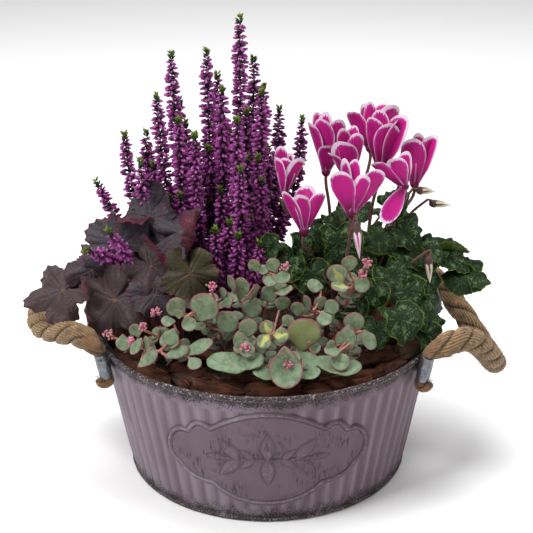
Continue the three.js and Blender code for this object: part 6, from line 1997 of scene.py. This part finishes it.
@dataclass
class Sedum:
    """Trailing sedum: pink stems with whorls of round fleshy leaves and clusters of pink buds."""

    filling: Filling
    thickness: float = 2.1
    stem: float = 1.25

    # Each plant: its root, the ways of its shoots and where its buds are.
    plants: tuple[tuple[Point, tuple[tuple[Point, ...], ...], tuple[Point, ...]], ...] = (
        ((-34, -60), (((-42, -72, 146), (-54, -88, 170)), ((-38, -72, 160), (-42, -79, 184))),
         ((-42, -80, 187),)),
        ((-10, -72), (((-16, -92, 140), (-18, -107, 157)), ((2, -96, 146), (6, -108, 162))),
         ((-16, -112, 151),)),
        ((-8, -52), (((-16, -60, 150), (-24, -74, 184)), ((0, -54, 160), (8, -62, 193))),
         ((14, -67, 198),)),
        ((22, -74), (((28, -92, 138), (32, -104, 152)), ((18, -106, 130), (12, -119, 136))),
         ((16, -122, 141),)),
        ((50, -54), (((60, -58, 156), (68, -68, 188)), ((66, -60, 172), (76, -66, 198))),
         ((78, -67, 201), (74, -71, 193))),
        ((36, -60), (((38, -72, 146), (36, -88, 172)),), ()),
        ((58, -66), (((66, -84, 140), (68, -100, 156)),), ()),
        ((-52, -66), (((-72, -80, 138), (-96, -84, 154)), ((-96, -70, 132), (-122, -72, 142)),
                      ((-70, -94, 150), (-84, -98, 142), (-104, -92, 145))),
         ((-85, -84, 168), (-95, -88, 158), (-105, -92, 147), (-124, -72, 144))),
    )

    # The leaves that stand out, each on the stem nearest to it: rows of their fields.
    leaves: tuple[tuple, ...] = (
        ((-47, -88, 175), 12.5, (0.3, -0.1, 1), (-0.1, -0.9, 0.5), 0.85),
        ((-69, -84, 173), 8.6, (-0.6, 0, 0.8), (-0.3, -0.8, 0.5), 0.8),
        ((-67, -90, 171), 4.2, (-0.2, 0, 1), (-0.3, -0.9, 0.3), 0.6, 0, 1, 0.5),
        ((-59, -99, 165), 6.2, (0.3, -0.4, -0.6), (0.1, -0.9, 0.4), 0.75, 0, 1, 0.55),
        ((-76, -90, 163), 5.6, (-0.9, -0.1, 0.1), (-0.6, -0.4, 0.7), 0.7),
        ((-73, -98, 154), 6.8, (-0.3, -0.2, -0.8), (-0.3, -0.9, -0.2), 0.5),
        ((-30, -88, 162), 9.8, (0.5, 0, 0.7), (0.2, -0.8, 0.5), 0.35),
        ((-14, -100, 163), 8, (0, 0, 1), (0, -0.95, 0.3), 0.5),
        ((-20, -107, 155), 6.6, (-0.9, -0.2, 0.2), (-0.2, -0.9, 0.4), 0.75),
        ((-15, -111, 149), 6.6, (0.2, -0.6, -0.8), (0, -0.8, 0.6), 0.85),
        ((0, -105, 165), 6.4, (-0.4, 0, 1), (-0.1, -0.9, 0.4), 0.8, 1),
        ((-2, -111, 156), 6.2, (-0.6, -0.3, -0.7), (-0.1, -0.85, 0.5), 0.85, 1),
        ((11, -109, 160), 6.4, (1, -0.2, 0.1), (0.2, -0.9, 0.4), 0.85, 0.9),
        ((16, -98, 167), 5.4, (0.7, 0, 0.7), (0.3, -0.8, 0.5), 0.7),
        ((28, -100, 157), 14.2, (0.15, 0, 1), (0.1, -0.95, 0.3), 0.5, 1.5, 1, 0.12),
        ((14, -121, 137), 13.5, (0.05, -0.5, -0.85), (0, -0.85, 0.5), 0.62, 0, 1.15, 0.5),
        ((11, -119, 144), 6, (-0.1, 0.1, 1), (0, -0.85, 0.5), 0.55, 0, 1.2, 0.4),
        ((4, -120, 140), 5.6, (-0.7, -0.3, 0.6), (0.4, -0.7, 0.5), 0.7, 0, 1.1, 0.4),
        ((24, -120, 141), 5.8, (0.7, -0.3, 0.6), (-0.4, -0.7, 0.5), 0.7, 0, 1.2, 0.4),
        ((21, -120, 147), 5.2, (0.5, 0, 0.8), (-0.2, -0.9, 0.4), 0.8),
        ((-26, -74, 188), 6.2, (-0.2, 0, 1), (-0.8, -0.5, 0.2), 0.75, 0, 1.3),
        ((-19, -72, 184), 7.4, (0.1, 0, 1), (-0.3, -0.9, 0.2), 0.6, 0, 1.2),
        ((-11, -78, 181), 7, (0.3, 0, 1), (0.85, -0.5, 0.1), 0.7, 0, 1.3),
        ((-9, -62, 198), 5.8, (-0.4, 0, 0.9), (-0.4, -0.8, 0.4), 0.65),
        ((-3, -60, 193), 5, (0.7, -0.2, -0.3), (0.1, -0.6, 0.8), 0.6),
        ((5, -66, 200), 6.2, (-0.3, 0, 1), (0, -0.9, 0.4), 0.85),
        ((12, -70, 190), 7.2, (1, -0.3, 0), (0, -0.45, 0.9), 0.9),
        ((3, -72, 188), 6, (-0.8, -0.4, -0.2), (-0.1, -0.5, 0.85), 0.75),
        ((14, -78, 182), 7.6, (0.9, -0.2, 0.35), (0.15, -0.15, 1), 0.45),
        ((-29, -82, 177), 7, (0.4, -0.3, 0.7), (-0.3, -0.6, 0.7), 0.7),
        ((-33, -78, 182), 4.6, (0.1, 0, 1), (-0.7, -0.7, 0.2), 0.75),
        ((55, -68, 193), 9, (-0.5, 0, 0.9), (-0.2, -0.95, 0.2), 0.7, 0.6),
        ((64, -66, 201), 6.8, (0.1, 0, 1), (0.1, -0.95, 0.3), 0.75),
        ((73, -74, 186), 6.8, (0.7, -0.2, -0.6), (0.2, -0.9, 0.4), 0.8),
        ((56, -78, 185), 7.6, (-1, -0.2, 0.2), (-0.1, -0.25, 1), 0.95, 0.6),
        ((37, -72, 184), 6.6, (-0.8, -0.1, 0.2), (-0.1, -0.6, 0.8), 0.8),
        ((32, -80, 174), 6, (-0.2, 0, 1), (-0.85, -0.5, 0.2), 0.6, 0, 1.2),
        ((41, -80, 174), 6, (0, 0, 1), (0.3, -0.9, 0.3), 0.55),
        ((50, -82, 171), 6.4, (0.8, 0, 0.5), (0.2, -0.8, 0.5), 0.5),
        ((44, -92, 165), 6.6, (0.2, -0.7, -0.5), (0, -0.6, 0.8), 0.85),
        ((66, -96, 165), 8.8, (0.5, 0, 0.9), (0.3, -0.9, 0.4), 0.7),
        ((60, -102, 154), 9, (-0.2, -0.1, -1), (0.1, -0.95, 0.2), 0.65, 0, 1.15),
        ((77, -104, 153), 6.2, (0.5, -0.1, -0.9), (0.5, -0.8, 0.2), 0.7, 0, 1.4),
        ((48, -108, 151), 4.6, (-0.6, -0.3, 0.5), (-0.2, -0.8, 0.5), 0.7),
        ((49, -112, 147), 6.8, (-0.9, -0.3, 0.1), (0, -0.3, 0.95), 1),
        ((55, -114, 140), 8, (0.3, -0.6, -0.7), (0.1, -0.75, 0.65), 0.7),
        ((24, -84, 171), 6, (0, 0, 1), (-0.2, -0.9, 0.3), 0.35),
        ((12, -82, 175), 6.6, (0.4, 0, 1), (0.3, -0.9, 0.2), 0.4),
        ((-11, -80, 170), 8.4, (-0.3, 0, -0.8), (0, -0.9, 0.4), 0.3),
        ((2, -72, 178), 7.4, (0.6, 0, 0.4), (0.1, -0.9, 0.4), 0.35),
        ((-26, -113, 139), 12.5, (-0.97, -0.1, 0.08), (0.05, -0.3, 0.95), 0.55, -1, 1.7, 0.12),
        ((-12, -112, 140), 10, (0.9, -0.2, 0.1), (0, -0.35, 0.93), 0.45, -1, 1.1, 0.1),
        ((54, -110, 135), 12, (0.97, -0.15, -0.1), (0, -0.3, 0.95), 0.6, -1, 1.6, 0.15),
        ((30, -110, 138), 9, (-0.9, -0.2, 0.2), (0, -0.5, 0.85), 0.5, -1, 1.2),
        ((0, -119, 133), 8, (-0.95, -0.2, 0.1), (0.1, -0.35, 0.93), 0.6, -1, 1.5),
        ((30, -119, 133), 8, (0.95, -0.2, 0.05), (-0.1, -0.35, 0.93), 0.6, -1, 1.4),
        ((-52, -104, 148), 6.4, (1, -0.1, 0.5), (-0.2, -0.6, 0.7), 0.7, 0, 2.1, 0.1),
        ((-68, -104, 144), 5.4, (0.9, -0.1, 0.4), (-0.2, -0.7, 0.7), 0.55, 0, 1.9, 0.1),
        ((-90, -106, 140), 5.4, (0.8, -0.1, 0.7), (-0.3, -0.7, 0.6), 0.6, 0, 1.9, 0.1),
        ((-55, -112, 138), 6, (0.5, -0.5, -0.3), (0, -0.6, 0.8), 0.5),
        ((-100, -98, 146), 4.6, (-0.5, -0.2, -0.7), (-0.3, -0.7, 0.6), 0.65, 0, 1.6),
        ((-92, -96, 147), 4.6, (0.1, 0, 1), (-0.7, -0.7, 0.3), 0.65, 0, 1.7),
        ((-78, -88, 152), 6.5, (0.3, 0, 1), (-0.2, -0.9, 0.3), 0.4),
        ((-102, -76, 150), 6, (-0.3, 0, 1), (-0.2, -0.8, 0.5), 0.45),
        ((-112, -78, 140), 6.6, (0, -0.2, -1), (-0.2, -0.9, 0.3), 0.5),
    )

    def _leaf(self, leaf: SedumLeaf, seed: int) -> Surface:
        """One leaf: nearly round, drawn out to its stalk, with shallow crenels; thick in the middle, and
        its face is hollowed by the cup times the square of the share to the edge."""
        a = TAU * np.arange(40) / 40
        foot = np.minimum(np.abs(a - math.pi), 9)
        crenel = 0.022 * np.abs(np.sin(8 * a + seed)) * (foot > 0.6)
        stretch = 1 / np.sqrt((np.sin(a) ** 2 + (np.cos(a) / leaf.long) ** 2))
        outline = leaf.radius * (0.93 + crenel + 0.2 * bell(foot, 0, 0.22)) * stretch
        outline = outline * (1 - 0.12 * bell(foot, 0.75, 0.35))
        blade = Blade(outline, 6, self.thickness * min(leaf.radius / 7, 1.4))
        lift = leaf.radius * blade.rho**2 * (leaf.cup - 0.12 * np.cos(2 * blade.theta + seed) ** 2)
        shell = blade.surface(lift, tone=leaf.shade, stripe=leaf.stripe)
        shell.paint[:] = 0
        return shell

    def _buds(self, middle: Point, seed: int) -> Surface:
        """A dome of small round buds, pink above and green below."""
        random = np.random.default_rng(seed)
        t = np.linspace(0, 1, 4)
        bud = tube(np.stack([0 * t, t - 0.5, 0 * t], axis=1), 0.5 * np.sin(math.pi * (0.1 + 0.78 * t)), 6,
                   paint=2)
        way = unit(random.normal(size=(30, 3)) + np.array([0, -0.2, 0.5]))
        places = np.asarray(middle, float) + way * random.uniform(1.5, 4.3, (30, 1))
        size = random.uniform(1.4, 2.5, (30, 1, 1))
        return bud.scattered(places, bases(way, np.tile([0.3, 0.9, 0.1], (30, 1))) * size,
                             tone=random.uniform(0.1, 1, 30))

    def _fill(self, path: Array, seed: int) -> list[Surface]:
        """Small leaves in threes up a stem, where the plant is dense behind its outer leaves, with low shades
        that paint them darker as painted shade.
        """
        random = np.random.default_rng(seed)
        way, side, third = frames(path)
        parts = []
        for step, share in enumerate((0.42, 0.62, 0.8)):
            k = int(share * (len(path) - 1))
            for i in range(3):
                angle = TAU * i / 3 + step * 1.05 + random.uniform(-0.2, 0.2)
                out = math.cos(angle) * side[k] + math.sin(angle) * third[k]
                radius = random.uniform(4.6, 6.6)
                tip = out + 0.5 * way[k]
                # The last field, a low shade, is painted shade for leaves deep in the plant.
                leaf = SedumLeaf(path[k] + unit(tip) * radius * 1.15, radius, tip, way[k] - 0.3 * out,
                                 random.uniform(0.3, 0.75))
                parts.append(self._leaf(leaf, seed + i).placed(leaf.middle, bases(tip, way[k] - 0.3 * out)))
        return parts

    def build(self, skin: Material, pink: Material, bud: Material) -> None:
        """Builds each plant in place of its node; a leaf goes to the stem nearest to its seat."""
        stems: list[tuple[int, Array]] = []
        parts: list[list[Surface]] = [[] for _ in self.plants]
        for k, (root, shoots, buds) in enumerate(self.plants):
            foot = np.array([*root, self.filling.soil_level(*root)])
            for i, way in enumerate(shoots):
                path = spline([foot - [0, 0, 10], foot, *way], 60)
                stems.append((k, path))
                parts[k].append(tube(path, np.linspace(1.3, 0.8, 60) * self.stem, 8, paint=1,
                                     tone=np.full(60, 0.7)))
                parts[k] += self._fill(path, 50 * k + 7 * i)
            parts[k] += [self._buds(middle, 300 + 10 * k + i) for i, middle in enumerate(buds)]
        for n, leaf in enumerate(SedumLeaf(*row) for row in self.leaves):
            tip = unit(np.asarray(leaf.tip, float))
            seat = np.asarray(leaf.middle, float) - tip * leaf.radius * leaf.long
            reach = np.array([np.linalg.norm(path - seat + [0, 0, 2], axis=1) for _, path in stems])
            nearest, step = np.unravel_index(reach.argmin(), reach.shape)
            owner, path = stems[nearest]
            joint = path[step]
            petiole = spline([joint, (joint + seat) / 2 - tip * 1.0, seat + tip * 1.2], 10)
            parts[owner].append(tube(petiole, np.full(10, 0.9), 6, paint=1, tone=np.full(10, 0.8)))
            turn = bases(tip, np.asarray(leaf.face, float))
            parts[owner].append(self._leaf(leaf, n).placed(leaf.middle, turn))
        for k, own in enumerate(parts):
            Surface.joined(own).build(f"sedum_{k + 1}", [skin, pink, bud], "sedum", f"sedum_stem_{k + 1}")


# ---------- the planter ----------


def main() -> None:
    """Builds the planter in order: camera and ropes first, then tub, filling and plants."""
    logging.basicConfig(level=logging.INFO, format="%(message)s")
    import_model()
    studio = Studio()
    studio.camera()
    tub = Tub()
    fittings = Fittings(tub)
    jute = Jute().material()
    for side in Side:
        RopeHandle(side, fittings).build(jute)
    fittings.build(Galvanised().material())
    tub.build(WornPaint().material())
    filling = Filling(tub)
    filling.build(LinerFilm().material(), Earth().material(), BarkGrain().material())
    Heather(filling).build(Floret().material(), HeatherGreen().material())
    purple = HeucheraSkin()
    stem = PlainFlesh("leaf_stalk", (104, 62, 56), (132, 84, 70), (58, 30, 30)).material()
    Heuchera(filling).build(purple.material(False), purple.material(True), stem)
    sedum_stem = PlainFlesh("sedum_stem", (146, 84, 76), (172, 112, 96), (96, 56, 50)).material()
    sedum_bud = PlainFlesh("sedum_bud", (160, 78, 102), (196, 118, 138), (108, 120, 76)).material()
    Sedum(filling).build(SedumSkin().material(), sedum_stem, sedum_bud)
    leaf = MarbledLeaf()
    CyclamenLeaves(filling).build(leaf.material(False), leaf.material(True), stem)
    petal = PetalSkin().material()
    dark_stalk = PlainFlesh("bloom_stalk", (74, 40, 38), (100, 60, 50), (44, 30, 26)).material()
    for number, bloom in enumerate(BLOOMS, start=1):
        shape = bloom.surface(number, filling.soil_level(*bloom.root))
        shape.build(f"bloom_{number}", [petal, dark_stalk], "cyclamen_petal", f"cyclamen_bloom_{number}")
    striped = FurledPetal("bud_striped", (176, 70, 132), (236, 206, 222), (232, 200, 214)).material()
    cream = FurledPetal("bud_cream", (96, 74, 64), (214, 204, 176), (236, 230, 206)).material()
    for number, bud in enumerate(BUDS, start=1):
        shape = bud.surface(filling.soil_level(*bud.root))
        shape.build(f"bud_{number}", [petal, dark_stalk, striped, cream], "cyclamen_bud",
                    f"cyclamen_bud_{number}")
    studio.dress()


if __name__ == "__main__":
    main()
